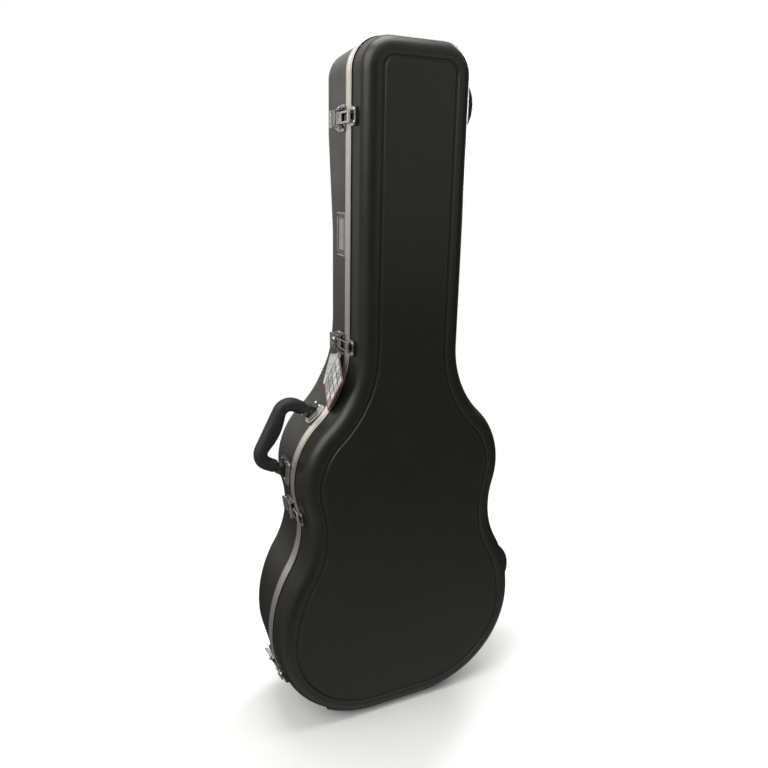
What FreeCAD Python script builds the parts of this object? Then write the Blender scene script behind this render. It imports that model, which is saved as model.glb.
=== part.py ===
import FreeCAD, Part
import math
import os
import Sketcher
from types import SimpleNamespace

# A hard-shell guitar case standing upright on its base, in millimetres, +Z up.
# The lid faces -Y, the latches and the handle are on the -X side and the hinges on the +X side.
# Every piece is drawn with the parting plane of the rim at y = 0 and is then moved along Y by its
# Placement, so that the origin of the finished case is the centre of its standing base.

Vector = FreeCAD.Vector
Placement = FreeCAD.Placement
Rotation = FreeCAD.Rotation

# name, value, what it is
DIMENSIONS = (
    ("case_height", 1140.0, "outside length over the rim"),
    ("lower_half_width", 231.9, "half the width of the lower bout"),
    ("lower_corner_radius", 181.1, "arc from the base into the lower bout"),
    ("lower_bout_radius", 245.9, "arc from the lower bout towards the waist"),
    ("waist_half_width", 177.3, "half the width of the waist"),
    ("waist_radius", 151.3, "hollow arc at the waist"),
    ("upper_half_width", 187.8, "half the width of the upper bout"),
    ("upper_bout_radius", 140.5, "arc of the upper bout"),
    ("neck_half_width", 91.8, "half the width of the neck part"),
    ("shoulder_radius", 166.2, "hollow arc from the upper bout to the neck"),
    ("top_corner_radius", 49.5, "corners at the top"),
    ("base_shift", 27.0, "from the parting plane to the centre of the base"),
    ("lid_depth", 53.0, "lid, from the parting plane to its front"),
    ("body_depth", 121.0, "body, from the parting plane to its back"),
    ("neck_depth", 96.0, "body depth behind the neck"),
    ("head_depth", 118.0, "body depth behind the headstock"),
    ("ramp_low", 612.0, "where the back starts to step in for the neck"),
    ("ramp_neck", 712.0, "where the neck recess reaches its depth"),
    ("ramp_head", 862.0, "where the neck recess ends"),
    ("ramp_top", 1008.0, "where the back is at headstock depth"),
    ("ramp_radius", 70.0, "rounding of the bends in the back"),
    ("lid_draft", 4.2, "draft of the lid's side wall, degrees"),
    ("body_draft", 3.0, "draft of the body's side wall, degrees"),
    ("edge_radius", 20.0, "outside rounding of the lid and of the back"),
    ("wall", 3.4, "thickness of the moulded shells"),
    ("shell_inset", 1.6, "shell wall behind the face of the rim"),
    ("shell_start", 2.2, "edge of the shell from the parting plane"),
    ("panel_inset", 33.0, "centre of the panel groove inside the outline"),
    ("panel_groove", 5.0, "width of the panel groove"),
    ("panel_groove_depth", 1.7, "depth of the panel groove"),
    ("base_right", 80.0, "end of the base land towards the hinges"),
    ("base_left", 140.0, "end of the base land towards the latches"),
    ("base_back", 98.0, "back edge of the base land"),
    ("base_front", 40.0, "front edge of the base land"),
    ("rim_height", 10.2, "one rim extrusion, from the parting plane"),
    ("rim_leg", 1.5, "thickness of the rim's outer leg"),
    ("rim_web", 2.0, "thickness of the rim's web"),
    ("rim_width", 6.6, "width of the rim's web"),
    ("rim_play", 0.8, "room in the rim's channel beside the shell's drafted wall"),
    ("rim_gap", 0.1, "from each rim to the parting plane"),
    ("tongue", 1.0, "height of the tongue over the parting plane"),
    ("tongue_inset", 3.4, "outer face of the tongue inside the outline"),
    ("foam_inset", 6.8, "outside of the foam inside the outline"),
    ("foam_start", 3.0, "top of the foam from the parting plane"),
    ("foam_gap", 0.6, "between the foam and the shell's floor"),
    ("cavity_inset", 30.0, "guitar cavity inside the outline"),
    ("cavity_depth", 105.0, "floor of the guitar cavity"),
    ("channel_floor", 84.0, "floor of the cavity under the neck"),
    ("head_floor", 96.0, "floor of the cavity under the headstock"),
    ("lid_cavity_depth", 34.0, "hollow of the lid's foam"),
    ("lining", 1.4, "thickness of the plush lining"),
    ("channel_low", 628.0, "step from the guitar cavity up to the neck channel"),
    ("channel_high", 920.0, "step from the neck channel down to the headstock"),
    ("box_low", 704.0, "lower end of the accessory box"),
    ("box_high", 820.0, "upper end of the accessory box"),
    ("partition", 4.0, "thickness of the box's partitions"),
    ("door_back", 39.0, "underside of the box's door"),
    ("door_thickness", 5.0, "thickness of the box's door"),
    ("cradle_top", 20.0, "top of the neck cradle"),
    ("cradle_length", 44.0, "length of the neck cradle"),
    ("cradle_notch", 28.0, "radius of the notch for the neck"),
    ("foot_start", 30.0, "front of the feet on the hinge side"),
    ("foot_end", 92.0, "back of the feet on the hinge side"),
    ("foot_rounding", 9.0, "rounding of the feet"),
    ("upper_foot_x", 82.0, "centre of the upper foot"),
    ("upper_foot_z", 1060.0, "height of the upper foot"),
    ("upper_foot_radius", 59.5, "radius of the upper foot"),
    ("lower_foot_x", 223.4, "centre of the lower foot"),
    ("lower_foot_z", 180.0, "height of the lower foot"),
    ("lower_foot_radius", 60.6, "radius of the lower foot"),
    ("hinge_offset", 10.0, "from the bouts to the hinge axis"),
    ("hinge_half_length", 17.0, "half the length of a hinge"),
    ("hinge_leaf", 1.4, "thickness of the hinge leaves"),
    ("hinge_leaf_height", -8.4, "underside of the leaves from the axis"),
    ("hinge_leaf_width", 24.0, "width of a leaf from the parting plane"),
    ("knuckle_radius", 3.4, "outside of the hinge knuckles"),
    ("hinge_pin_radius", 1.6, "hinge pins"),
    ("rivet_radius", 2.6, "rivet heads"),
    ("hinge_rivet_x", 11.0, "rivets from the middle of a hinge"),
    ("hinge_rivet_y", 18.0, "hinge rivets from the parting plane"),
    ("seat_start", 12.0, "near edge of the hardware's seats from the parting plane"),
    ("seat_depth", 14.0, "depth of a seat's block under its face"),
    ("latch_seat_half", 19.0, "half the length of a latch's seat on the body"),
    ("latch_seat_end", 61.0, "far edge of a latch's seat on the body"),
    ("strike_seat_half", 15.5, "half the length of a strike's seat on the lid"),
    ("strike_seat_end", 30.0, "far edge of a strike's seat on the lid"),
    ("hinge_seat_half", 20.0, "half the length of a hinge's seat"),
    ("hinge_seat_end", 27.0, "far edge of a hinge's seat"),
    ("hinge_seat_depth", 26.0, "lower face of a hinge's seat block under the axis"),
    ("bracket_seat_half", 22.0, "half the length of a handle bracket's seat"),
    ("bracket_seat_end", 58.0, "far edge of a handle bracket's seat"),
    ("bracket_lift", 1.0, "face of the brackets' seats over the face of the rim"),
    ("latch_half_width", 18.6, "half the width of a latch base beside the rim"),
    ("latch_end_half", 10.5, "half the width of a latch base at its far end"),
    ("latch_taper_start", 34.0, "where a latch base begins to narrow"),
    ("latch_base_end", 58.5, "far end of a latch base"),
    ("latch_plate", 1.2, "thickness of the latch plates"),
    ("latch_base_start", 11.0, "near end of a latch base"),
    ("latch_rivet_x", 15.5, "outer latch rivets from the middle"),
    ("latch_rivet_y", 31.0, "outer latch rivets from the parting plane"),
    ("inner_rivet_x", 5.6, "inner latch rivets from the middle"),
    ("inner_rivet_y", 35.0, "inner latch rivets from the parting plane"),
    ("ear_radius", 4.0, "round top of a latch's ears"),
    ("keeper_x", -10.0, "outer face of the lock's keeper"),
    ("keeper_reach", 3.2, "reach of the keeper's lip over the cam"),
    ("strike_half_width", 13.0, "half the length of a strike plate"),
    ("strike_start", 10.6, "near end of a strike plate"),
    ("strike_end", 28.5, "far end of a strike plate"),
    ("strike_corner", 6.5, "round corners of a strike plate"),
    ("strike_rivet_x", 8.5, "strike rivets from the middle"),
    ("strike_rivet_y", 24.2, "strike rivets from the parting plane"),
    ("nose_width", 9.0, "width of a strike's nose"),
    ("lever_half_width", 12.2, "half the width of a lever"),
    ("lever_pivot_y", 20.0, "lever pivot from the parting plane"),
    ("lever_pivot_z", 5.0, "lever pivot over its seat"),
    ("lever_pin_radius", 1.5, "lever pins"),
    ("lever_top", 7.2, "top of a lever over its seat"),
    ("lever_skin", 1.2, "thickness of a lever's sheet"),
    ("lever_end", 53.0, "free end of a lever"),
    ("bail_y", 27.0, "bail pivot from the parting plane"),
    ("bail_z", 4.2, "bail pivot over its seat"),
    ("bail_pin_radius", 1.1, "bail pins"),
    ("bail_eye_radius", 2.2, "eye of a bail"),
    ("bail_bar_radius", 1.9, "bar of a bail"),
    ("bail_reach", 16.5, "bar from the parting plane, on the lid side"),
    ("bail_half_width", 8.6, "half the width of a bail"),
    ("bail_thickness", 1.6, "thickness of a bail"),
    ("lock_y", 42.2, "centre of the lock from the parting plane"),
    ("lock_radius", 6.5, "outside of the lock's housing"),
    ("plug_radius", 4.2, "the lock's turning plug"),
    ("lock_top", 9.8, "top of the lock over its seat"),
    ("cam_height", 2.2, "underside of the lock's cam"),
    ("cam_thickness", 0.9, "thickness of the lock's cam"),
    ("cam_reach", 8.0, "reach of the lock's cam"),
    ("handle_half_span", 54.0, "from the middle of the handle to a leg"),
    ("handle_height", 44.0, "middle of the grip over the pivots"),
    ("handle_bend", 19.0, "bend between a leg and the grip"),
    ("handle_y", 35.0, "handle from the parting plane"),
    ("handle_pin_radius", 2.0, "handle pins"),
    ("strap_thickness", 5.0, "steel strap inside the handle"),
    ("strap_width", 11.0, "width of the steel strap"),
    ("eye_radius", 5.5, "eyes at the strap's ends"),
    ("grip_radius", 12.5, "radius of the moulded grip"),
    ("grip_start", 7.5, "lower end of the grip over the pivots"),
    ("bracket_plate", 2.0, "thickness of the handle's brackets"),
    ("bracket_half", 19.0, "half the length of a handle bracket"),
    ("bracket_start", 11.0, "near edge of a handle bracket"),
    ("bracket_end", 56.0, "far edge of a handle bracket"),
    ("bracket_rivet_x", 15.0, "bracket rivets from its middle"),
    ("bracket_ear_radius", 7.0, "round end of a bracket's ears"),
    ("bracket_ear", 6.6, "thickness of a bracket's ears"),
    ("bracket_rib", 1.5, "width of a bracket's ribs"),
    ("bracket_rib_pitch", 2.6, "one bracket rib to the next"),
    ("bracket_rib_half", 14.0, "half the length of a bracket's ribs"),
    ("bracket_rib_start", 18.5, "first rib of a bracket from the parting plane"),
    ("bracket_rib_rise", 0.9, "ribs over a bracket's plate"),
    ("bracket_rivet_low", 31.0, "near bracket rivets from the parting plane"),
    ("bracket_rivet_high", 50.0, "far bracket rivets from the parting plane"),
    ("nameplate_z", 858.0, "middle of the nameplate"),
    ("nameplate_y", 32.0, "middle of the nameplate from the parting plane"),
    ("nameplate_length", 67.0, "length of the nameplate"),
    ("nameplate_width", 40.0, "width of the nameplate"),
    ("nameplate_thickness", 1.6, "thickness of the nameplate's frame"),
    ("nameplate_end", 9.0, "frame at the nameplate's ends"),
    ("nameplate_side", 7.0, "frame along the nameplate's sides"),
    ("insert_thickness", 0.9, "thickness of the nameplate's insert"),
    ("insert_play", 0.2, "room around the nameplate's insert"),
    ("nameplate_rivet_edge", 4.5, "nameplate rivets from its edges"),
    ("tag_width", 70.0, "width of the hang tag"),
    ("tag_length", 68.0, "length of the hang tag"),
    ("tag_edge", 4.4, "hole of a hang tag from the card's edges"),
    ("tag_hole_radius", 2.4, "hole of a hang tag"),
    ("tag_corner", 3.0, "round corners of a hang tag"),
    ("tag_gap", 1.5, "from the front card to the back card"),
    ("tag_turn", 52.0, "back card turned against the front card"),
    ("tag_thickness", 0.7, "thickness of the hang tag"),
    ("tag_x", -101.4, "hole of the hang tag, sideways"),
    ("tag_y", 14.0, "hole of the hang tag from the parting plane"),
    ("tag_z", 663.5, "hole of the hang tag, height"),
    ("cord_ring", 3.5, "ring of the cord through the hang tag"),
    ("cord_radius", 0.5, "radius of the cord"),
)
LOCKING_LATCH = 2

doc = FreeCAD.newDocument("GuitarCase")
sheet = doc.addObject("Spreadsheet::Sheet", "Dimensions")


class Size:
    """A length or an angle: its value, and the expression that ties it to the sheet."""

    def __init__(self, value, text):
        self.value = value
        self.text = text

    def joined(self, sign, other, value):
        return Size(value, "(%s %s %s)" % (self.text, sign, other.text))

    def __add__(self, other):
        other = as_size(other)
        return self.joined("+", other, self.value + other.value)

    def __sub__(self, other):
        other = as_size(other)
        return self.joined("-", other, self.value - other.value)

    def __mul__(self, other):
        other = as_size(other)
        return self.joined("*", other, self.value * other.value)

    def __truediv__(self, other):
        other = as_size(other)
        return self.joined("/", other, self.value / other.value)

    def __neg__(self):
        return self * -1.0


def as_size(number):
    if isinstance(number, Size):
        return number
    return Size(float(number), "(%s)" % float(number))


def fill_sheet():
    """Writes the driving dimensions and returns them as Size values by name."""
    sizes = SimpleNamespace()
    for row, (name, value, note) in enumerate(DIMENSIONS, start=1):
        sheet.set("A%d" % row, name)
        sheet.set("B%d" % row, str(value))
        sheet.set("C%d" % row, note)
        sheet.setAlias("B%d" % row, name)
        setattr(sizes, name, Size(value, "Dimensions." + name))
    doc.recompute()
    return sizes


d = fill_sheet()


def bind(feature, name, size):
    """Ties a property to the sheet."""
    feature.setExpression(name, as_size(size).text)


def limit(sketch, kind, *args):
    """Adds a constraint whose last argument is a Size tied to the sheet."""
    size = as_size(args[-1])
    index = sketch.addConstraint(Sketcher.Constraint(kind, *args[:-1], size.value))
    sketch.setExpression("Constraints[%d]" % index, size.text)


def origin_plane(body, role):
    for feature in body.Origin.OriginFeatures:
        if feature.Role == role:
            return feature
    raise ValueError("no origin plane " + role)


def new_body(label):
    return doc.addObject("PartDesign::Body", label)


def new_sketch(body, name, role, height=0.0):
    """An empty sketch on one of the body's own planes, height along the plane's normal."""
    sketch = body.newObject("Sketcher::SketchObject", name)
    sketch.AttachmentSupport = [(origin_plane(body, role), "")]
    sketch.MapMode = "FlatFace"
    bind(sketch, "AttachmentOffset.Base.z", height)
    return sketch


def outline_numbers():
    """Centres and radii of the arcs of the right half, from the base to the top."""
    base = (d.lower_half_width.value - d.lower_corner_radius.value, d.lower_corner_radius.value)
    bout = (d.lower_half_width.value - d.lower_bout_radius.value, base[1])

    def next_centre(centre, radius, other_x, other_radius):
        return other_x, centre[1] + math.sqrt((radius + other_radius) ** 2 - (other_x - centre[0]) ** 2)

    waist = next_centre(
        bout,
        d.lower_bout_radius.value,
        d.waist_half_width.value + d.waist_radius.value,
        d.waist_radius.value,
    )
    upper = next_centre(
        waist,
        d.waist_radius.value,
        d.upper_half_width.value - d.upper_bout_radius.value,
        d.upper_bout_radius.value,
    )
    shoulder = next_centre(
        upper,
        d.upper_bout_radius.value,
        d.neck_half_width.value + d.shoulder_radius.value,
        d.shoulder_radius.value,
    )
    top = (
        d.neck_half_width.value - d.top_corner_radius.value,
        d.case_height.value - d.top_corner_radius.value,
    )
    return base, bout, waist, upper, shoulder, top


BASE_C, BOUT_C, WAIST_C, UPPER_C, SHOULDER_C, TOP_C = outline_numbers()


def direction(start, end):
    return math.atan2(end[1] - start[1], end[0] - start[0])


def add_outline(sketch, inset):
    """Draws the guitar-shaped outline moved inwards by inset: lines and arcs that run into each other."""
    inset = as_size(inset)
    low, high = inset.value, d.case_height.value - inset.value
    side_x = d.neck_half_width.value - inset.value
    to_waist = direction(BOUT_C, WAIST_C)
    to_upper = direction(WAIST_C, UPPER_C)
    to_shoulder = direction(UPPER_C, SHOULDER_C)
    # centre, radius, first and last angle from the base upwards, hollow or not
    arcs = (
        (BASE_C, d.lower_corner_radius - inset, -math.pi / 2, 0.0, False),
        (BOUT_C, d.lower_bout_radius - inset, 0.0, to_waist, False),
        (WAIST_C, d.waist_radius + inset, to_upper, to_waist + math.pi, True),
        (UPPER_C, d.upper_bout_radius - inset, to_upper - math.pi, to_shoulder, False),
        (SHOULDER_C, d.shoulder_radius + inset, math.pi, to_shoulder + math.pi, True),
        None,
        (TOP_C, d.top_corner_radius - inset, 0.0, math.pi / 2, False),
    )
    centre_x = {
        0: d.lower_half_width - d.lower_corner_radius,
        2: d.waist_half_width + d.waist_radius,
        3: d.upper_half_width - d.upper_bout_radius,
        4: d.neck_half_width + d.shoulder_radius,
    }
    base_line = sketch.addGeometry(Part.LineSegment(Vector(-BASE_C[0], low, 0), Vector(BASE_C[0], low, 0)))
    top_line = sketch.addGeometry(Part.LineSegment(Vector(-TOP_C[0], high, 0), Vector(TOP_C[0], high, 0)))
    for side in (1, -1):
        chain = []
        for arc in arcs:
            if arc is None:
                line = Part.LineSegment(
                    Vector(side * side_x, SHOULDER_C[1], 0), Vector(side * side_x, TOP_C[1], 0)
                )
                chain.append((sketch.addGeometry(line), 1, 2))
                continue
            centre, radius, first, last, hollow = arc
            if side < 0:
                first, last = math.pi - last, math.pi - first
            circle = Part.Circle(Vector(side * centre[0], centre[1], 0), Vector(0, 0, 1), radius.value)
            index = sketch.addGeometry(Part.ArcOfCircle(circle, first, last))
            rising = (side > 0) != hollow
            chain.append((index, 1, 2) if rising else (index, 2, 1))
        base_end = (base_line, 2) if side > 0 else (base_line, 1)
        top_end = (top_line, 2) if side > 0 else (top_line, 1)
        joints = [(base_end, chain[0][:2])]
        joints += [((a[0], a[2]), b[:2]) for a, b in zip(chain, chain[1:])]
        joints.append(((chain[-1][0], chain[-1][2]), top_end))
        for first, second in joints:
            sketch.addConstraint(Sketcher.Constraint("Tangent", *first, *second))
        for order, arc in enumerate(arcs):
            index = chain[order][0]
            if arc is None:
                sketch.addConstraint(Sketcher.Constraint("Vertical", index))
                continue
            limit(sketch, "Radius", index, arc[1])
            if order in centre_x:
                limit(sketch, "DistanceX", -1, 1, index, 3, centre_x[order] * float(side))
        sketch.addConstraint(Sketcher.Constraint("Horizontal", chain[0][0], 3, chain[1][0], 3))
    sketch.addConstraint(Sketcher.Constraint("Horizontal", base_line))
    limit(sketch, "DistanceY", -1, 1, base_line, 1, inset)
    sketch.addConstraint(Sketcher.Constraint("Horizontal", top_line))
    limit(sketch, "DistanceY", -1, 1, top_line, 1, d.case_height - inset)


def pad(body, sketch, length, backwards=False, taper=None):
    """Pads towards the lid, or backwards towards the back of the case."""
    feature = body.newObject("PartDesign::Pad", body.Label + "_pad")
    feature.Profile = sketch
    feature.Reversed = backwards
    bind(feature, "Length", length)
    if taper is not None:
        bind(feature, "TaperAngle", -taper)
    doc.recompute()
    return feature


def pocket(body, sketch, length=None, backwards=False):
    """Cuts against the sketch's normal, or along it when backwards; right through without a length."""
    before = body.Shape.Volume
    feature = body.newObject("PartDesign::Pocket", body.Label + "_pocket")
    feature.Profile = sketch
    feature.Reversed = backwards
    if length is None:
        feature.Type = "ThroughAll"
        feature.SideType = "Symmetric"
    else:
        bind(feature, "Length", length)
    doc.recompute()
    if feature.Shape.Volume >= before:
        raise ValueError("the pocket in %s removes nothing" % body.Label)
    return feature


def fillet(body, base, edges, radius):
    feature = body.newObject("PartDesign::Fillet", body.Label + "_fillet")
    feature.Base = (base, edges)
    bind(feature, "Radius", radius)
    doc.recompute()
    return feature


def add_polygon(sketch, corners):
    """A closed polygon whose corners, pairs of Size values, are tied to the sheet."""
    corners = [(as_size(a), as_size(b)) for a, b in corners]
    lines = []
    for (a, b), (c, e) in zip(corners, corners[1:] + corners[:1]):
        line = Part.LineSegment(Vector(a.value, b.value, 0), Vector(c.value, e.value, 0))
        lines.append(sketch.addGeometry(line))
    for before, line, (a, b) in zip(lines[-1:] + lines[:-1], lines, corners):
        sketch.addConstraint(Sketcher.Constraint("Coincident", before, 2, line, 1))
        limit(sketch, "DistanceX", -1, 1, line, 1, a)
        limit(sketch, "DistanceY", -1, 1, line, 1, b)


def add_rectangle(sketch, x_low, x_high, y_low, y_high):
    add_polygon(sketch, ((x_low, y_low), (x_high, y_low), (x_high, y_high), (x_low, y_high)))


def is_upright(edge, axis):
    """True for a straight edge along one axis of its body."""
    extent = edge.BoundBox
    lengths = {"X": extent.XLength, "Y": extent.YLength, "Z": extent.ZLength}
    own = lengths.pop(axis)
    return own > 0.1 and max(lengths.values()) < 0.01


def add_circle(sketch, x, y, radius):
    x, y, radius = as_size(x), as_size(y), as_size(radius)
    circle = Part.Circle(Vector(x.value, y.value, 0), Vector(0, 0, 1), radius.value)
    index = sketch.addGeometry(circle)
    limit(sketch, "Radius", index, radius)
    limit(sketch, "DistanceX", -1, 1, index, 3, x)
    limit(sketch, "DistanceY", -1, 1, index, 3, y)


def back_profile(sketch, inner):
    """The region behind the stepped back of the body: full depth, neck recess, headstock depth."""
    far = d.body_depth + 40.0
    add_polygon(
        sketch,
        (
            (d.body_depth - inner, d.ramp_low),
            (d.neck_depth - inner, d.ramp_neck),
            (d.neck_depth - inner, d.ramp_head),
            (d.head_depth - inner, d.ramp_top),
            (d.head_depth - inner, d.case_height + 20.0),
            (far, d.case_height + 20.0),
            (far, d.ramp_low),
        ),
    )


def face_normal_y(face):
    u_low, u_high, v_low, v_high = face.ParameterRange
    return face.normalAt((u_low + u_high) / 2, (v_low + v_high) / 2).y


def cap_edges(shape, toward):
    """Names of the edges around the floor of a tub: toward is -1 for the lid and +1 for the back."""
    counts = {}
    for face in shape.Faces:
        if face_normal_y(face) * toward > 0.5:
            for edge in face.Edges:
                counts[edge.hashCode()] = counts.get(edge.hashCode(), 0) + 1
    return ["Edge%d" % n for n, e in enumerate(shape.Edges, start=1) if counts.get(e.hashCode()) == 1]


def bend_edges(shape):
    """Names of the straight edges across the back, where its planes meet."""
    names = []
    for number, edge in enumerate(shape.Edges, start=1):
        extent = edge.BoundBox
        across = extent.XLength > 50 and extent.YLength < 0.01 and extent.ZLength < 0.01
        on_back = extent.YMin > 20 and 300 < extent.ZMin < d.case_height.value - 60
        if edge.Curve.TypeId == "Part::GeomLine" and across and on_back:
            names.append("Edge%d" % number)
    return names


def tub(label, lid_side, inset, start, inner, rounding):
    """A solid tub: the outline moved in by inset, from start to the floor, with draft and a round floor edge.
    inner is how far its floor lies inside the floor of the outside."""
    body = new_body(label)
    sketch = new_sketch(body, label + "_outline", "XZ_Plane", start if lid_side else -as_size(start))
    add_outline(sketch, inset)
    depth = (d.lid_depth if lid_side else d.body_depth) - inner - start
    last = pad(body, sketch, depth, not lid_side, d.lid_draft if lid_side else d.body_draft)
    if not lid_side:
        profile = new_sketch(body, label + "_back", "YZ_Plane")
        back_profile(profile, inner)
        last = pocket(body, profile)
        last = fillet(body, last, bend_edges(last.Shape), d.ramp_radius)
    fillet(body, last, cap_edges(last.Shape, -1 if lid_side else 1), rounding)
    return body


def boolean(kind, label, base, *tools):
    """A Part boolean of finished shapes, such as a Cut of one base and its tools."""
    if kind == "Cut":
        tool = tools[0] if len(tools) == 1 else boolean("MultiFuse", label + "_tools", *tools)
        feature = doc.addObject("Part::Cut", label)
        feature.Base = base
        feature.Tool = tool
    else:
        feature = doc.addObject("Part::MultiFuse", label)
        feature.Shapes = [base] + list(tools)
    feature.Label = label
    feature.Refine = True
    doc.recompute()
    return feature


def box(label, low, high, placement=None):
    """A Part::Box between two corners, given as Size values or numbers in the frame of placement."""
    low = [as_size(value) for value in low]
    high = [as_size(value) for value in high]
    feature = doc.addObject("Part::Box", label)
    feature.Label = label
    for name, a, b in zip(("Length", "Width", "Height"), low, high):
        bind(feature, name, b - a)
    if placement is None:
        for axis, a in zip("xyz", low):
            bind(feature, "Placement.Base." + axis, a)
    else:
        corner = Vector(*[a.value for a in low])
        feature.Placement = placement.multiply(Placement(corner, Rotation()))
    return feature


SHIFT = Placement(Vector(0, -d.base_shift.value, 0), Rotation())
PARTS = []


def hand_over(part, label, frame=None):
    """Names a finished sub-part and moves it from the parting plane's frame to the case's frame."""
    part.Label = label
    part.Placement = SHIFT if frame is None else SHIFT.multiply(frame)
    doc.recompute()
    PARTS.append(part)
    return part


def placed(feature, frame):
    """Moves a piece of a group inside the parting plane's frame."""
    feature.Placement = frame
    return feature


def group(label, members):
    """One node made of separate solids."""
    feature = doc.addObject("Part::Compound", label)
    feature.Links = members
    return hand_over(feature, label)


def frame_of(point, normal):
    """Local frame with X along the rim, Y along the case's Y and Z outwards along normal."""
    along = Vector(normal.z, 0, -normal.x)
    return Placement(point, Rotation(along, Vector(0, 1, 0), normal, "XYZ"))


def rim_frame(height):
    """Frame on the rim's outer face on the latch side at a height over the base."""
    to_waist = BOUT_C[1] + d.lower_bout_radius.value * math.sin(direction(BOUT_C, WAIST_C))
    to_upper = WAIST_C[1] + d.waist_radius.value * math.sin(direction(WAIST_C, UPPER_C))
    # centre, radius, hollow, top height of each stretch
    stretches = (
        (BASE_C, d.lower_corner_radius.value, False, BASE_C[1]),
        (BOUT_C, d.lower_bout_radius.value, False, to_waist),
        (WAIST_C, d.waist_radius.value, True, to_upper),
    )
    for centre, radius, hollow, top in stretches:
        if height <= top:
            rise = height - centre[1]
            run = math.sqrt(radius**2 - rise**2)
            sign = -1 if hollow else 1
            normal = Vector(-run / radius, 0, sign * rise / radius)
            return frame_of(Vector(-centre[0] - sign * run, 0, height), normal)
    return frame_of(Vector(-d.neck_half_width.value, 0, height), Vector(-1, 0, 0))


def bout_frame(angle):
    """Frame on the rim of the upper bout on the latch side, at an angle in degrees from +X."""
    normal = Vector(math.cos(math.radians(angle)), 0, math.sin(math.radians(angle)))
    centre = Vector(-UPPER_C[0], 0, UPPER_C[1])
    return frame_of(centre + normal * d.upper_bout_radius.value, normal)


def hinge_line():
    """Direction and distance of the line that just clears both bouts on the hinge side, moved outwards."""
    dx, dz = UPPER_C[0] - BOUT_C[0], UPPER_C[1] - BOUT_C[1]
    lean = math.atan2(dz, dx) - math.acos(
        (d.lower_bout_radius.value - d.upper_bout_radius.value) / math.hypot(dx, dz)
    )
    normal = Vector(math.cos(lean), 0, math.sin(lean))
    reach = normal.dot(Vector(BOUT_C[0], 0, BOUT_C[1])) + d.lower_bout_radius.value
    return lean, normal, reach + d.hinge_offset.value


HINGE_LEAN, HINGE_NORMAL, HINGE_REACH = hinge_line()


def hinge_frame(height):
    """Frame on the hinge axis at a height over the base."""
    along = (height - HINGE_REACH * math.sin(HINGE_LEAN)) / math.cos(HINGE_LEAN)
    up = Vector(-math.sin(HINGE_LEAN), 0, math.cos(HINGE_LEAN))
    return frame_of(HINGE_NORMAL * HINGE_REACH + up * along, HINGE_NORMAL)


def rivet(label, frame, x, y, z):
    """A domed rivet head on a plate, with its centre at x, y and its underside at z."""
    feature = doc.addObject("Part::Sphere", label)
    latitude = 38.0
    bind(feature, "Radius", d.rivet_radius / math.cos(math.radians(latitude)))
    feature.Angle1 = latitude
    sink = d.rivet_radius.value * math.tan(math.radians(latitude))
    centre = Vector(as_size(x).value, as_size(y).value, z - sink)
    feature.Placement = frame.multiply(Placement(centre, Rotation()))
    return feature


def rod(label, frame, radius, x_low, x_high, y, z):
    """A round bar along the frame's X axis."""
    feature = doc.addObject("Part::Cylinder", label)
    bind(feature, "Radius", radius)
    bind(feature, "Height", as_size(x_high) - x_low)
    turn = Rotation(Vector(0, 1, 0), 90)
    start = Vector(as_size(x_low).value, as_size(y).value, as_size(z).value)
    feature.Placement = frame.multiply(Placement(start, turn))
    return feature


HOME = Placement()
LATCH_FRAMES = [rim_frame(height) for height in (1028.0, 685.0, 403.0, 107.0)]
HINGE_FRAMES = [hinge_frame(height) for height in (1050.0, 482.0, 220.0)]
HANDLE_ANGLE = 153.0
HANDLE_FRAME = bout_frame(HANDLE_ANGLE)


def bracket_frame(side):
    """Frame on the seat under one end of the handle: side is 1 for the upper end and -1 for the lower."""
    swing = math.degrees(math.asin(d.handle_half_span.value / d.upper_bout_radius.value))
    lift = Placement(Vector(0, 0, d.bracket_lift.value), Rotation())
    return bout_frame(HANDLE_ANGLE - side * swing).multiply(lift)


BRACKET_FRAMES = [bracket_frame(side) for side in (1, -1)]


# ---- shells -------------------------------------------------------------------------------------


def side_foot(label, x, z, radius):
    """A moulded foot on the hinge side: a thick disc with rounded edges, half sunk in the wall."""
    body = new_body(label)
    sketch = new_sketch(body, label + "_disc", "XZ_Plane", -d.foot_start)
    add_circle(sketch, x, z, radius)
    last = pad(body, sketch, d.foot_end - d.foot_start, True)
    fillet(body, last, ["Edge1", "Edge3"] if len(last.Shape.Edges) == 3 else ["Edge1"], d.foot_rounding)
    return body


def hardware_seats(side):
    """Flat seats moulded on a shell under the latches, the hinges and the handle brackets."""
    name = "body_seat" if side > 0 else "lid_seat"
    half, latch_end = (
        (d.latch_seat_half, d.latch_seat_end) if side > 0 else (d.strike_seat_half, d.strike_seat_end)
    )

    def seat(label, half, end, low, top, frame):
        near, far = (d.seat_start, end) if side > 0 else (-end, -d.seat_start)
        return box(name + label, (-half, near, low), (half, far, top), frame)

    seats = []
    for number, frame in enumerate(LATCH_FRAMES):
        seats.append(seat("_latch_%d" % number, half, latch_end, -d.seat_depth, 0.0, frame))
    for number, frame in enumerate(HINGE_FRAMES):
        low = -d.hinge_seat_depth
        label = "_hinge_%d" % number
        seats.append(seat(label, d.hinge_seat_half, d.hinge_seat_end, low, d.hinge_leaf_height, frame))
    if side > 0:
        for number, frame in enumerate(BRACKET_FRAMES):
            label = "_handle_%d" % number
            seats.append(seat(label, d.bracket_seat_half, d.bracket_seat_end, -d.seat_depth, 0.0, frame))
    return seats


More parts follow.
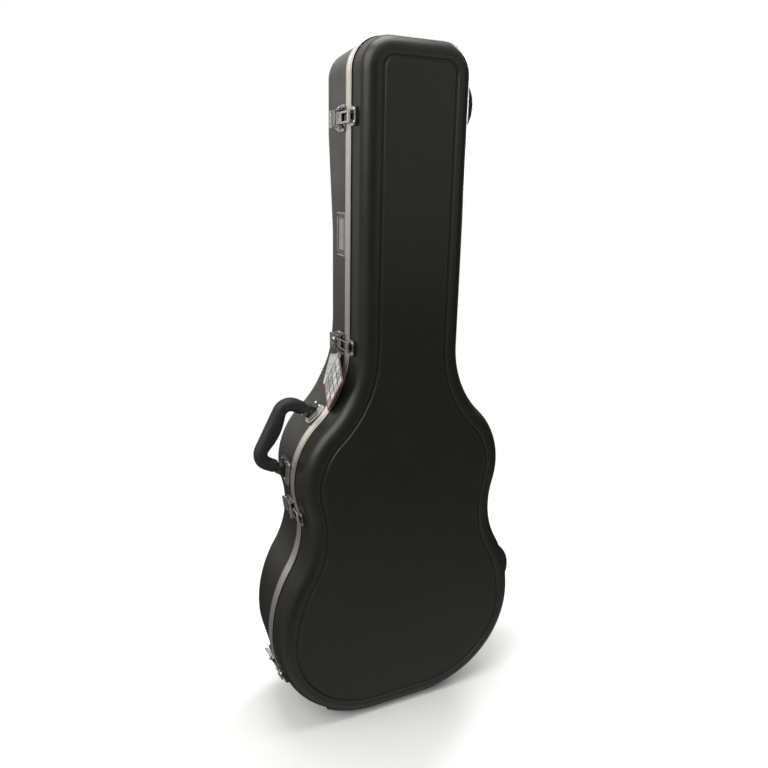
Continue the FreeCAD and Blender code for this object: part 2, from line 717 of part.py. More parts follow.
def base_land(label, lid_side, far):
    """The raised land under one shell that the case stands on, flush with the rim."""
    body = new_body(label + "_block")
    start = as_size(11.0)
    sketch = new_sketch(body, label + "_outline", "XZ_Plane", start if lid_side else -start)
    add_outline(sketch, 0.0)
    pad(body, sketch, far - start, not lid_side)
    window = box(label + "_window", (-d.base_left, -far - 1.0, -1.0), (d.base_right, far + 1.0, 60.0))
    feature = doc.addObject("Part::Common", label)
    feature.Base = body
    feature.Tool = window
    doc.recompute()
    return feature


def make_body_shell():
    outside = tub("body_outside", False, d.shell_inset, d.shell_start, as_size(0), d.edge_radius)
    inside = tub(
        "body_inside",
        False,
        d.shell_inset + d.wall,
        d.shell_start - 1.0,
        d.wall,
        d.edge_radius - d.wall,
    )
    feet = [
        side_foot("upper_foot", d.upper_foot_x, d.upper_foot_z, d.upper_foot_radius),
        side_foot("lower_foot", d.lower_foot_x, d.lower_foot_z, d.lower_foot_radius),
    ]
    seats = hardware_seats(1)
    land = base_land("body_base", False, d.base_back)
    solid = boolean("MultiFuse", "body_shell_solid", outside, land, *feet, *seats)
    hand_over(boolean("Cut", "body_shell_cut", solid, inside), "body_shell")


def make_lid_shell():
    outside = tub("lid_outside", True, d.shell_inset, d.shell_start, as_size(0), d.edge_radius)
    groove = new_sketch(outside, "panel_groove", "XZ_Plane", d.lid_depth)
    add_outline(groove, d.panel_inset - d.panel_groove / 2.0)
    add_outline(groove, d.panel_inset + d.panel_groove / 2.0)
    pocket(outside, groove, d.panel_groove_depth)
    inside = tub(
        "lid_inside",
        True,
        d.shell_inset + d.wall,
        d.shell_start - 1.0,
        d.wall,
        d.edge_radius - d.wall,
    )
    seats = hardware_seats(-1)
    land = base_land("lid_base", True, d.base_front)
    solid = boolean("MultiFuse", "lid_shell_solid", outside, land, *seats)
    hand_over(boolean("Cut", "lid_shell_cut", solid, inside), "lid_shell")


def make_rim(label, lid_side):
    """An aluminium extrusion bent to the outline: a channel for the shell's edge, with the tongue on the
    body's rim and the groove that takes it in the lid's rim."""
    body = new_body(label)
    toward = 1.0 if lid_side else -1.0

    def ring(name, start, inset_low, inset_high):
        sketch = new_sketch(body, label + name, "XZ_Plane", as_size(start) * toward)
        add_outline(sketch, inset_low)
        add_outline(sketch, inset_high)
        return sketch

    inner_leg = d.shell_inset + d.wall + d.rim_play
    pad(body, ring("_block", d.rim_gap, 0.0, d.rim_width), d.rim_height - d.rim_gap, not lid_side)
    channel = ring("_channel", d.rim_web + d.rim_gap, d.rim_leg, inner_leg)
    pocket(body, channel, d.rim_height, lid_side)
    tongue_end = d.tongue_inset + 1.4
    if lid_side:
        groove = ring("_groove", 0.0, d.tongue_inset - 0.7, tongue_end + 0.7)
        pocket(body, groove, d.tongue + 0.4, True)
    else:
        pad(body, ring("_tongue", 0.5, d.tongue_inset, tongue_end), d.tongue + 0.5)
    hand_over(body, label)


# ---- foam and lining ----------------------------------------------------------------------------


def cavity(label, lid_side, inset, inner, start):
    """The hollow that holds the guitar, made smaller by inner, as a solid used for cutting."""
    body = new_body(label)
    sketch = new_sketch(body, label + "_outline", "XZ_Plane", start if lid_side else -as_size(start))
    add_outline(sketch, inset)
    floor = (d.lid_cavity_depth if lid_side else d.cavity_depth) - inner
    pad(body, sketch, floor - start, not lid_side)
    if not lid_side:
        profile = new_sketch(body, label + "_steps", "YZ_Plane")
        far = d.cavity_depth + 20.0
        top = d.case_height + 20.0
        add_polygon(
            profile,
            (
                (d.channel_floor - inner, d.channel_low - inner),
                (d.channel_floor - inner, d.channel_high),
                (d.head_floor - inner, d.channel_high + 14.0),
                (d.head_floor - inner, top),
                (far, top),
                (far, d.channel_low - inner),
            ),
        )
        pocket(body, profile)
    return body


def make_padding(side_name, lid_side):
    """The foam that fills one half around the guitar, and its plush lining with a border over the foam."""
    inside = d.wall + d.foam_gap
    rounding = d.edge_radius - d.wall - 1.0
    block = tub(side_name + "_foam_block", lid_side, d.foam_inset, d.foam_start, inside, rounding)
    hollow = cavity(side_name + "_foam_hollow", lid_side, d.cavity_inset, as_size(0), d.foam_start - 2.0)
    hand_over(boolean("Cut", side_name + "_foam_cut", block, hollow), side_name + "_foam")
    border = new_body(side_name + "_lining_border")
    start = d.foam_start - 0.2 - d.lining
    height = start if lid_side else -start
    sketch = new_sketch(border, side_name + "_border", "XZ_Plane", height)
    add_outline(sketch, d.foam_inset)
    pad(border, sketch, d.lining, not lid_side)
    skin = cavity(side_name + "_lining_skin", lid_side, d.cavity_inset + 0.2, as_size(0.2), start)
    room = cavity(
        side_name + "_lining_room", lid_side, d.cavity_inset + 0.2 + d.lining, d.lining + 0.2, as_size(0.0)
    )
    solid = boolean("MultiFuse", side_name + "_lining_solid", border, skin)
    hand_over(boolean("Cut", side_name + "_lining_cut", solid, room), side_name + "_lining")


def make_compartment():
    """The accessory box under the neck: two partitions, a padded door with a pull tab, and the cradle."""
    half = d.neck_half_width - d.cavity_inset - d.lining - 0.6
    floor = d.channel_floor - d.lining - 0.3
    walls = []
    for number, z in enumerate((d.box_low, d.box_high - d.partition)):
        top = half, floor, z + d.partition
        walls.append(box("partition_%d" % number, (-half, d.door_back + 1.0, z), top))
    group("compartment_walls", walls)

    door = new_body("compartment_door")
    sketch = new_sketch(door, "door_outline", "XZ_Plane", -d.door_back)
    add_rectangle(sketch, -half + 1.0, half - 1.0, d.box_low + 2.0, d.box_high - 1.0)
    last = pad(door, sketch, d.door_thickness)
    uprights = [
        "Edge%d" % n
        for n, e in enumerate(last.Shape.Edges, start=1)
        if is_upright(e, "Y") and e.BoundBox.ZMax < d.box_high.value - 10
    ]
    fillet(door, last, uprights, 8.0)
    hand_over(door, "compartment_door")

    front = d.door_back - d.door_thickness
    tab = new_body("door_pull_tab")
    sketch = new_sketch(tab, "tab_outline", "XZ_Plane", -front)
    add_rectangle(sketch, -8.0, 8.0, d.box_low - 14.0, d.box_low + 16.0)
    last = pad(tab, sketch, 1.4)
    hand_over(tab, "door_pull_tab")

    tape = new_body("door_hinge_tape")
    sketch = new_sketch(tape, "tape_outline", "XZ_Plane", -front)
    add_rectangle(sketch, -half + 8.0, half - 8.0, d.box_high - 16.0, d.box_high + 0.8)
    pad(tape, sketch, 1.2)
    hand_over(tape, "door_hinge_tape")

    cradle = new_body("neck_cradle")
    sketch = new_sketch(cradle, "cradle_side", "YZ_Plane")
    high = d.box_high + d.cradle_length + 3.0
    add_rectangle(sketch, d.cradle_top, floor, d.box_high + 3.0, high)
    last = pad(cradle, sketch, half * 2.0)
    last.SideType = "Symmetric"
    notch = new_sketch(cradle, "cradle_notch", "XY_Plane", d.box_high)
    add_circle(notch, 0.0, d.cradle_top + 2.0, d.cradle_notch)
    pocket(cradle, notch, d.cradle_length + 20.0, True)
    hand_over(cradle, "neck_cradle")


# ---- hinges -------------------------------------------------------------------------------------


def make_hinge_leaf(label, frame, side):
    """One leaf of a hinge: a strip on the shell, a riser and its knuckles around the pin."""
    low = d.hinge_leaf_height
    top = low + d.hinge_leaf
    half = d.hinge_half_length
    middle = half / 2.0
    gap = 0.2
    near, far = d.rim_gap + 0.5, d.hinge_leaf_width
    strip = (near, far) if side > 0 else (-far, -near)
    pieces = [box(label + "_strip", (-half, strip[0], low), (half, strip[1], top))]
    riser = (near, near + 1.8) if side > 0 else (-near - 1.8, -near)
    spans = [(-half, -middle - gap), (middle + gap, half)] if side > 0 else [(-middle, middle)]
    for number, (start, end) in enumerate(spans):
        pieces.append(box("%s_riser_%d" % (label, number), (start, riser[0], low), (end, riser[1], -1.0)))
        pieces.append(rod("%s_knuckle_%d" % (label, number), HOME, d.knuckle_radius, start, end, 0.0, 0.0))
    solid = boolean("MultiFuse", label + "_solid", *pieces)
    bore = rod(label + "_bore", HOME, d.hinge_pin_radius + 0.05, -half - 1.0, half + 1.0, 0.0, 0.0)
    return placed(boolean("Cut", label, solid, bore), frame)


def make_hinges():
    half = d.hinge_half_length
    for side, name in ((1, "hinge_body_leaves"), (-1, "hinge_lid_leaves")):
        leaves = [make_hinge_leaf("%s_%d" % (name, n), f, side) for n, f in enumerate(HINGE_FRAMES)]
        group(name, leaves)
    pins = [
        rod("hinge_pin_%d" % n, frame, d.hinge_pin_radius, -half - 0.8, half + 0.8, 0.0, 0.0)
        for n, frame in enumerate(HINGE_FRAMES)
    ]
    group("hinge_pins", pins)
    top = (d.hinge_leaf_height + d.hinge_leaf).value
    for side, name in ((1, "hinge_body_rivets"), (-1, "hinge_lid_rivets")):
        heads = [
            rivet("%s_%d_%d" % (name, n, end), frame, d.hinge_rivet_x * end, d.hinge_rivet_y * side, top)
            for n, frame in enumerate(HINGE_FRAMES)
            for end in (-1, 1)
        ]
        group(name, heads)


# ---- latches ------------------------------------------------------------------------------------


def plate(label, x_half, y_low, y_high, thickness, corner, taper=None):
    """A flat plate on its seat with rounded corners. A taper is its start and the half width it ends in."""
    body = new_body(label)
    sketch = new_sketch(body, label + "_outline", "XY_Plane")
    x_half = as_size(x_half)
    if taper is None:
        add_rectangle(sketch, -x_half, x_half, y_low, y_high)
    else:
        start, end_half = taper
        right = ((x_half, y_low), (x_half, start), (end_half, y_high))
        left = tuple((-x, y) for x, y in reversed(right))
        add_polygon(sketch, right + left)
    last = pad(body, sketch, thickness)
    uprights = ["Edge%d" % n for n, e in enumerate(last.Shape.Edges, start=1) if is_upright(e, "Z")]
    fillet(body, last, uprights, corner)
    return body


def make_latch_base(number, frame, locking):
    """The base plate on the body with the two ears that hold the lever; the locking one has a keeper."""
    label = "latch_base_%d" % number
    start, end = d.latch_base_start, d.latch_base_end
    taper = d.latch_taper_start, d.latch_end_half
    base = plate(label + "_plate", d.latch_half_width, start, end, d.latch_plate, 3.0, taper)
    pieces = [base]
    ear_in, ear_out = d.lever_half_width + 0.8, d.lever_half_width + 2.0
    y, z, round_top = d.lever_pivot_y, d.lever_pivot_z, d.ear_radius
    for side, low, high in ((1, ear_in, ear_out), (-1, -ear_out, -ear_in)):
        ear = box("%s_ear_%d" % (label, side), (low, y - round_top, 0.0), (high, y + round_top, z))
        pieces += [ear, rod("%s_ear_top_%d" % (label, side), HOME, round_top, low, high, y, z)]
    if locking:
        x, low, high = d.keeper_x, d.lock_y - 3.0, d.lock_y + 3.0
        lip = d.cam_height + d.cam_thickness + 0.3
        pieces.append(box(label + "_keeper_post", (x, low, 0.0), (x + 1.4, high, lip + 0.8)))
        pieces.append(box(label + "_keeper_lip", (x, low, lip), (x + d.keeper_reach, high, lip + 0.8)))
    solid = boolean("MultiFuse", label + "_solid", *pieces)
    reach = ear_out + 1.0
    bore = rod(label + "_bore", HOME, d.lever_pin_radius, -reach, reach, d.lever_pivot_y, d.lever_pivot_z)
    return placed(boolean("Cut", label, solid, bore), frame)


def make_latch_lever(number, frame, locking):
    """The lever: a ribbed cover with two cheeks; its front is open so that the bail can swing up in it."""
    label = "latch_%d_lever" % number
    body = new_body(label)
    top = d.lever_top
    skin = d.lever_skin
    end = d.lever_end
    y, z = d.lever_pivot_y, d.lever_pivot_z
    side = new_sketch(body, label + "_side", "YZ_Plane")
    add_polygon(
        side,
        (
            (y - 3.2, z - 1.6),
            (y - 1.6, z - 3.2),
            (y + 3.0, z - 3.2),
            (end - 4.0, z - 2.2),
            (end, z),
            (end, top - 1.0),
            (end + 2.4, top + 0.8),
            (end + 2.2, top + 2.0),
            (end + 1.2, top + 1.8),
            (end - 2.5, top),
            (y - 1.4, top),
            (y - 3.2, top - 1.8),
        ),
    )
    last = pad(body, side, d.lever_half_width * 2.0)
    last.SideType = "Symmetric"
    doc.recompute()
    channel = new_sketch(body, label + "_channel", "YZ_Plane")
    open_to = y + 14.0
    add_polygon(
        channel,
        (
            (y - 10.0, -6.0),
            (end - skin, -6.0),
            (end - skin, top - skin),
            (open_to, top - skin),
            (open_to, top + 5.0),
            (y - 10.0, top + 5.0),
        ),
    )
    cut = pocket(body, channel, (d.lever_half_width - skin) * 2.0)
    cut.SideType = "Symmetric"
    doc.recompute()
    if locking:
        hole = new_sketch(body, label + "_lock_hole", "XY_Plane")
        add_circle(hole, 0.0, d.lock_y, d.lock_radius)
        pocket(body, hole)
    else:
        ribs = new_sketch(body, label + "_ribs", "YZ_Plane")
        for rib in range(5):
            add_circle(ribs, open_to + 2.6 + 3.6 * rib, top - 0.1, 1.0)
        last = pad(body, ribs, d.lever_half_width * 2.0 - 5.0)
        last.SideType = "Symmetric"
        doc.recompute()
    holes = new_sketch(body, label + "_holes", "YZ_Plane")
    add_circle(holes, y, z, d.lever_pin_radius + 0.05)
    add_circle(holes, d.bail_y, d.bail_z, d.bail_pin_radius)
    pocket(body, holes)
    return hand_over(body, label, frame)


def make_latch_bail(number, frame):
    """The bail: a flat loop with an eye on the lever and a round bar that pulls on the strike."""
    label = "latch_%d_bail" % number
    body = new_body(label)
    half = d.bail_half_width
    loop = new_sketch(body, label + "_loop", "XY_Plane", d.bail_z - d.bail_thickness / 2.0)
    add_rectangle(loop, -half, half, -d.bail_reach, d.bail_y)
    add_rectangle(loop, -half + 3.0, half - 3.0, -d.bail_reach + 1.4, d.bail_y - 10.0)
    pad(body, loop, d.bail_thickness)
    rounds = ("_bar", -d.bail_reach, d.bail_bar_radius), ("_eye", d.bail_y, d.bail_eye_radius)
    for name, y, radius in rounds:
        bar = new_sketch(body, label + name, "YZ_Plane")
        add_circle(bar, y, d.bail_z, radius)
        last = pad(body, bar, half * 2.0)
        last.SideType = "Symmetric"
        doc.recompute()
    hole = new_sketch(body, label + "_hole", "YZ_Plane")
    add_circle(hole, d.bail_y, d.bail_z, d.bail_pin_radius + 0.05)
    pocket(body, hole)
    return hand_over(body, label, frame)


def make_strike(number, frame):
    """The strike on the lid: a plate with the nose that the bail's bar pulls on."""
    label = "latch_strike_%d" % number
    corner = d.strike_corner
    base = plate(label + "_plate", d.strike_half_width, -d.strike_end, -d.strike_start, d.latch_plate, corner)
    nose = new_body(label + "_nose")
    sketch = new_sketch(nose, label + "_nose_side", "YZ_Plane")
    back = -d.bail_reach + d.bail_bar_radius + 0.25
    add_polygon(
        sketch,
        (
            (back, 0.0),
            (back - 0.1, d.bail_z + 1.6),
            (back + 1.0, d.bail_z + 2.4),
            (back + 3.4, d.bail_z - 0.5),
            (back + 3.6, 0.0),
        ),
    )
    last = pad(nose, sketch, d.nose_width)
    last.SideType = "Symmetric"
    doc.recompute()
    return placed(boolean("MultiFuse", label, base, nose), frame)


def make_lock(frame):
    """The lock in the second latch: a housing fixed in the lever and a turning plug with its cam."""
    y = d.lock_y
    housing = new_body("lock_housing")
    sketch = new_sketch(housing, "housing_ring", "XY_Plane", d.cam_height + d.cam_thickness + 1.6)
    add_circle(sketch, 0.0, y, d.lock_radius)
    add_circle(sketch, 0.0, y, d.plug_radius + 0.06)
    pad(housing, sketch, d.lock_top - d.cam_height - d.cam_thickness - 1.6)
    flange = new_sketch(housing, "housing_flange", "XY_Plane", d.lever_top)
    add_circle(flange, 0.0, y, d.lock_radius + 1.6)
    add_circle(flange, 0.0, y, d.plug_radius + 0.06)
    pad(housing, flange, 1.2)
    hand_over(housing, "lock_housing", frame)

    plug = new_body("lock_plug")
    sketch = new_sketch(plug, "plug_barrel", "XY_Plane", d.cam_height)
    add_circle(sketch, 0.0, y, d.plug_radius)
    pad(plug, sketch, d.lock_top - d.cam_height - 0.4)
    cam = new_sketch(plug, "plug_cam", "XY_Plane", d.cam_height)
    add_rectangle(cam, -2.2, 2.2, y - 1.0, y + d.cam_reach)
    pad(plug, cam, d.cam_thickness)
    slot = new_sketch(plug, "plug_keyway", "XY_Plane", d.lock_top)
    add_rectangle(slot, -0.7, 0.7, y - 2.6, y + 2.6)
    pocket(plug, slot, 4.0)
    hand_over(plug, "lock_plug", frame)


def make_latches():
    bases, strikes, lever_pins, body_rivets, lid_rivets = [], [], [], [], []
    inner, outer = d.lever_half_width - d.lever_skin - 0.4, d.lever_half_width + 4.8
    for number, frame in enumerate(LATCH_FRAMES, start=1):
        locking = number == LOCKING_LATCH
        bases.append(make_latch_base(number, frame, locking))
        strikes.append(make_strike(number, frame))
        make_latch_lever(number, frame, locking)
        make_latch_bail(number, frame)
        pin = rod(
            "latch_%d_bail_pin_rod" % number,
            HOME,
            d.bail_pin_radius,
            -d.lever_half_width,
            d.lever_half_width,
            d.bail_y,
            d.bail_z,
        )
        holder = doc.addObject("Part::Compound", "latch_%d_bail_pin" % number)
        holder.Links = [pin]
        hand_over(holder, "latch_%d_bail_pin" % number, frame)
        for low, high in ((inner, outer), (-outer, -inner)):
            name = "lever_pin_%d_%s" % (number, "low" if low.value > 0 else "high")
            place = low, high, d.lever_pivot_y, d.lever_pivot_z
            lever_pins.append(rod(name, frame, d.lever_pin_radius, *place))
        top = d.latch_plate.value
        for end in (-1, 1):
            name = "latch_rivet_%d_%d" % (number, end)
            body_rivets.append(rivet(name, frame, d.latch_rivet_x * end, d.latch_rivet_y, top))
            body_rivets.append(rivet(name + "_inner", frame, d.inner_rivet_x * end, d.inner_rivet_y, top))
            name = "strike_rivet_%d_%d" % (number, end)
            lid_rivets.append(rivet(name, frame, d.strike_rivet_x * end, -d.strike_rivet_y, top))
        if locking:
            make_lock(frame)
    group("latch_bases", bases)
    group("latch_strikes", strikes)
    group("latch_lever_pins", lever_pins)
    group("latch_rivets", body_rivets)
    group("strike_rivets", lid_rivets)


# ---- handle -------------------------------------------------------------------------------------


def swept(label, start_z, add_section):
    """A section swept along the handle: up one leg, along the grip and down the other leg."""
    body = new_body(label)
    half, high, bend = d.handle_half_span, d.handle_height, d.handle_bend
    spine = new_sketch(body, label + "_spine", "XZ_Plane")
    h, top, low, r = half.value, high.value, as_size(start_z).value, bend.value
    up = Vector(0, 0, 1)
    left = spine.addGeometry(Part.LineSegment(Vector(-h, low, 0), Vector(-h, top - r, 0)))
    arc = Part.ArcOfCircle(Part.Circle(Vector(-h + r, top - r, 0), up, r), math.pi / 2, math.pi)
    corner_left = spine.addGeometry(arc)
    bar = spine.addGeometry(Part.LineSegment(Vector(-h + r, top, 0), Vector(h - r, top, 0)))
    arc = Part.ArcOfCircle(Part.Circle(Vector(h - r, top - r, 0), up, r), 0, math.pi / 2)
    corner_right = spine.addGeometry(arc)
    right = spine.addGeometry(Part.LineSegment(Vector(h, top - r, 0), Vector(h, low, 0)))
    for first, second in (
        ((left, 2), (corner_left, 2)),
        ((corner_left, 1), (bar, 1)),
        ((bar, 2), (corner_right, 2)),
        ((corner_right, 1), (right, 1)),
    ):
        spine.addConstraint(Sketcher.Constraint("Tangent", *first, *second))
    spine.addConstraint(Sketcher.Constraint("Vertical", left))
    spine.addConstraint(Sketcher.Constraint("Vertical", right))
    spine.addConstraint(Sketcher.Constraint("Horizontal", bar))
    limit(spine, "Radius", corner_left, bend)
    limit(spine, "Radius", corner_right, bend)
    limit(spine, "DistanceX", -1, 1, left, 1, -half)
    limit(spine, "DistanceX", -1, 1, right, 2, half)
    limit(spine, "DistanceY", -1, 1, bar, 1, high)
    limit(spine, "DistanceY", -1, 1, left, 1, start_z)
    limit(spine, "DistanceY", -1, 1, right, 2, start_z)
    section = new_sketch(body, label + "_section", "XY_Plane", start_z)
    add_section(section)
    pipe = body.newObject("PartDesign::AdditivePipe", label + "_pipe")
    pipe.Profile = section
    pipe.Spine = (spine, ["Edge1", "Edge2", "Edge3", "Edge4", "Edge5"])
    doc.recompute()
    return body, pipe


def make_handle():
    """A steel strap with an eye at each end, and the soft grip moulded over it."""
    half = d.handle_half_span
    turn = Placement(Vector(0, d.handle_y.value, 0), Rotation())
    frame = HANDLE_FRAME.multiply(turn)

    def strap_section(sketch):
        thin = d.strap_thickness / 2.0
        add_rectangle(sketch, -half - thin, -half + thin, -d.strap_width / 2.0, d.strap_width / 2.0)

    def core(label):
        strap, _ = swept(label, 0.0, strap_section)
        thin = d.strap_thickness / 2.0
        eyes = [
            rod(
                "%s_eye_%d" % (label, side),
                HOME,
                d.eye_radius,
                half * float(side) - thin,
                half * float(side) + thin,
                0.0,
                0.0,
            )
            for side in (1, -1)
        ]
        return boolean("MultiFuse", label + "_solid", strap, *eyes)

    bore = rod("handle_bore", HOME, d.handle_pin_radius + 0.05, -half - 8.0, half + 8.0, 0.0, 0.0)
    hand_over(boolean("Cut", "handle_core_cut", core("handle_core_blank"), bore), "handle_core", frame)

    def grip_section(sketch):
        add_circle(sketch, -half, 0.0, d.grip_radius)

    body, pipe = swept("handle_grip_blank", d.grip_start, grip_section)
    ends = [
        "Edge%d" % n
        for n, e in enumerate(pipe.Shape.Edges, start=1)
        if e.BoundBox.ZLength < 0.01 and abs(e.BoundBox.ZMin - d.grip_start.value) < 0.01
    ]
    fillet(body, pipe, ends, d.grip_radius * 0.62)
    hand_over(boolean("Cut", "handle_grip_cut", body, core("handle_core_tool")), "handle_grip", frame)

    brackets, pins, heads = [], [], []
    for side, seat in zip((1, -1), BRACKET_FRAMES):
        name = "handle_bracket_%d" % side
        foot = plate(name + "_plate", d.bracket_half, d.bracket_start, d.bracket_end, d.bracket_plate, 4.0)
        pieces = [placed(foot, seat)]
        for rib in range(3):
            long, near = d.bracket_rib_half, d.bracket_rib_start + d.bracket_rib_pitch * float(rib)
            top = long, near + d.bracket_rib, d.bracket_plate + d.bracket_rib_rise
            pieces.append(box("%s_rib_%d" % (name, rib), (-long, near, 0.5), top, seat))
        y = d.handle_y.value
        ears = []
        for cheek in (1, -1):
            near = d.strap_thickness.value / 2 + 0.5
            low, high = sorted((cheek * near, cheek * (near + d.bracket_ear.value)))
            centre = d.handle_half_span * float(side)
            ears.append(
                box(
                    "%s_ear_%d" % (name, cheek),
                    (centre + low, d.handle_y - d.bracket_ear_radius, -20.0),
                    (centre + high, d.handle_y + d.bracket_ear_radius, 0.0),
                    HANDLE_FRAME,
                )
            )
            top_name = "%s_ear_top_%d" % (name, cheek)
            ends = centre + low, centre + high
            ears.append(rod(top_name, HANDLE_FRAME, d.bracket_ear_radius, *ends, y, 0.0))
        under = box(name + "_under", (-40.0, -20.0, -60.0), (40.0, 90.0, 0.0), seat)
        ear_solid = boolean("Cut", name + "_ears", boolean("MultiFuse", name + "_ear_blanks", *ears), under)
        solid = boolean("MultiFuse", name + "_solid", *pieces, ear_solid)
        reach = d.strap_thickness.value / 2 + 4.6
        centre = d.handle_half_span * float(side)
        hole = rod(name + "_hole", HANDLE_FRAME, d.handle_pin_radius, centre - 12.0, centre + 12.0, y, 0.0)
        brackets.append(boolean("Cut", name, solid, hole))
        ends = centre - reach, centre + reach
        pins.append(rod("handle_pin_%d" % side, HANDLE_FRAME, d.handle_pin_radius, *ends, y, 0.0))
        for end in (-1, 1):
            for row, y in enumerate((d.bracket_rivet_low, d.bracket_rivet_high)):
                label = "%s_rivet_%d_%d" % (name, end, row)
                heads.append(rivet(label, seat, d.bracket_rivet_x * end, y, d.bracket_plate.value))
    group("handle_brackets", brackets)
    group("handle_pins", pins)
    group("handle_rivets", heads)


# ---- nameplate and hang tag ---------------------------------------------------------------------


def make_nameplate():
    """A blank card holder on the neck wall: a metal frame, a blank insert and its rivets."""
    lean = d.body_draft.value
    middle = d.nameplate_y.value
    depth = d.shell_inset.value + (middle - d.shell_start.value) * math.tan(math.radians(lean))
    seat = rim_frame(d.nameplate_z.value)
    tilt = Placement(Vector(0, middle, -depth + 0.03), Rotation(Vector(1, 0, 0), -lean))
    frame = seat.multiply(tilt)
    half_long, half_wide = d.nameplate_length / 2.0, d.nameplate_width / 2.0
    long, wide = half_long - d.nameplate_end, half_wide - d.nameplate_side
    border = plate("nameplate_frame_blank", half_long, -half_wide, half_wide, d.nameplate_thickness, 3.0)
    window = new_sketch(border, "nameplate_window", "XY_Plane")
    add_rectangle(window, -long, long, -wide, wide)
    pocket(border, window)
    hand_over(border, "nameplate_frame", frame)
    insert = new_body("nameplate_insert")
    sketch = new_sketch(insert, "insert_outline", "XY_Plane")
    long, wide = long - d.insert_play, wide - d.insert_play
    add_rectangle(sketch, -long, long, -wide, wide)
    pad(insert, sketch, d.insert_thickness)
    hand_over(insert, "nameplate_insert", frame)
    heads = []
    x, y = half_long - d.nameplate_rivet_edge, half_wide - d.nameplate_rivet_edge
    top = d.nameplate_thickness.value
    for end in (-1, 1):
        for side in (-1, 1):
            heads.append(rivet("nameplate_rivet_%d_%d" % (end, side), frame, x * end, y * side, top))
    group("nameplate_rivets", heads)


def make_hang_tag():
    """Two blank paper cards hanging by a corner on a cord from the second latch."""
    hole = Vector(d.tag_x.value, d.tag_y.value, d.tag_z.value)
    short_edge = Vector(-17.4, -61.9, -29.8).normalize()
    long_edge = Vector(-14.5, 31.1, -56.3).normalize()
    normal = short_edge.cross(long_edge).normalize()
    facing = Rotation(short_edge, normal, short_edge.cross(normal), "XYZ")
    cards = (
        ("hang_tag", 0.0, 0.0, d.tag_width, d.tag_length),
        ("hang_tag_back", d.tag_gap.value, d.tag_turn.value, d.tag_width * 0.75, d.tag_length * 0.9),
    )
    for name, offset, turn, width, length in cards:
        body = new_body(name)
        sketch = new_sketch(body, name + "_outline", "XZ_Plane")
        edge = d.tag_edge
        add_rectangle(sketch, -edge, width - edge, edge - length, edge)
        last = pad(body, sketch, d.tag_thickness)
        uprights = ["Edge%d" % n for n, e in enumerate(last.Shape.Edges, start=1) if is_upright(e, "Y")]
        fillet(body, last, uprights, d.tag_corner)
        opening = new_sketch(body, name + "_hole", "XZ_Plane")
        add_circle(opening, 0.0, 0.0, d.tag_hole_radius)
        pocket(body, opening)
        swing = Placement(Vector(0, offset, 0), Rotation(Vector(0, 1, 0), turn))
        hand_over(body, name, Placement(hole, facing).multiply(swing))

    ring = doc.addObject("Part::Torus", "tag_cord_ring")
    bind(ring, "Radius1", d.cord_ring)
    bind(ring, "Radius2", d.cord_radius)
    ring_centre = hole + Vector(0, 0, d.cord_ring.value)
    ring.Placement = Placement(ring_centre, Rotation(Vector(1, 0, 0), 90))
    latch = LATCH_FRAMES[LOCKING_LATCH - 1]
    pin_end = Vector(-d.lever_half_width.value - 4.0, d.lever_pivot_y.value, d.lever_pivot_z.value)
    knot = doc.addObject("Part::Torus", "tag_cord_knot")
    bind(knot, "Radius1", d.lever_pin_radius + d.cord_radius + 0.4)
    bind(knot, "Radius2", d.cord_radius)
    knot.Placement = Placement(latch.multVec(pin_end), Rotation())
    low = hole + Vector(0, 0, d.cord_ring.value * 2)
    high = latch.multVec(pin_end + Vector(0, 0, d.lever_pin_radius.value + d.cord_radius.value + 0.4))
    strand = doc.addObject("Part::Cylinder", "tag_cord_strand")
    bind(strand, "Radius", d.cord_radius)
    strand.Height = (high - low).Length
    strand.Placement = Placement(low, Rotation(Vector(0, 0, 1), high - low))
    hand_over(boolean("MultiFuse", "tag_cord_solid", ring, knot, strand), "tag_cord")


def check_document():
    for feature in doc.Objects:
        if "Invalid" in feature.State or "Error" in feature.State:
            raise ValueError("%s failed: %s" % (feature.Label, feature.State))
    for part in PARTS:
        if part.Shape.isNull() or not part.Shape.isValid() or not part.Shape.Solids:
            raise ValueError("%s has no valid shape" % part.Label)


def write_parts():
    os.makedirs("parts", exist_ok=True)
    for part in PARTS:
        part.Shape.exportStep("parts/%s.step" % part.Label)


make_body_shell()
make_lid_shell()
make_rim("body_rim", False)
make_rim("lid_rim", True)
make_padding("body", False)
make_padding("lid", True)
make_compartment()
make_hinges()
make_latches()
make_handle()
make_nameplate()
make_hang_tag()
doc.recompute()
check_document()
write_parts()
print("%d sub-parts written" % len(PARTS))
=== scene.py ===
import math

import bmesh
import bpy
import numpy as np
from mathutils import Matrix, Vector


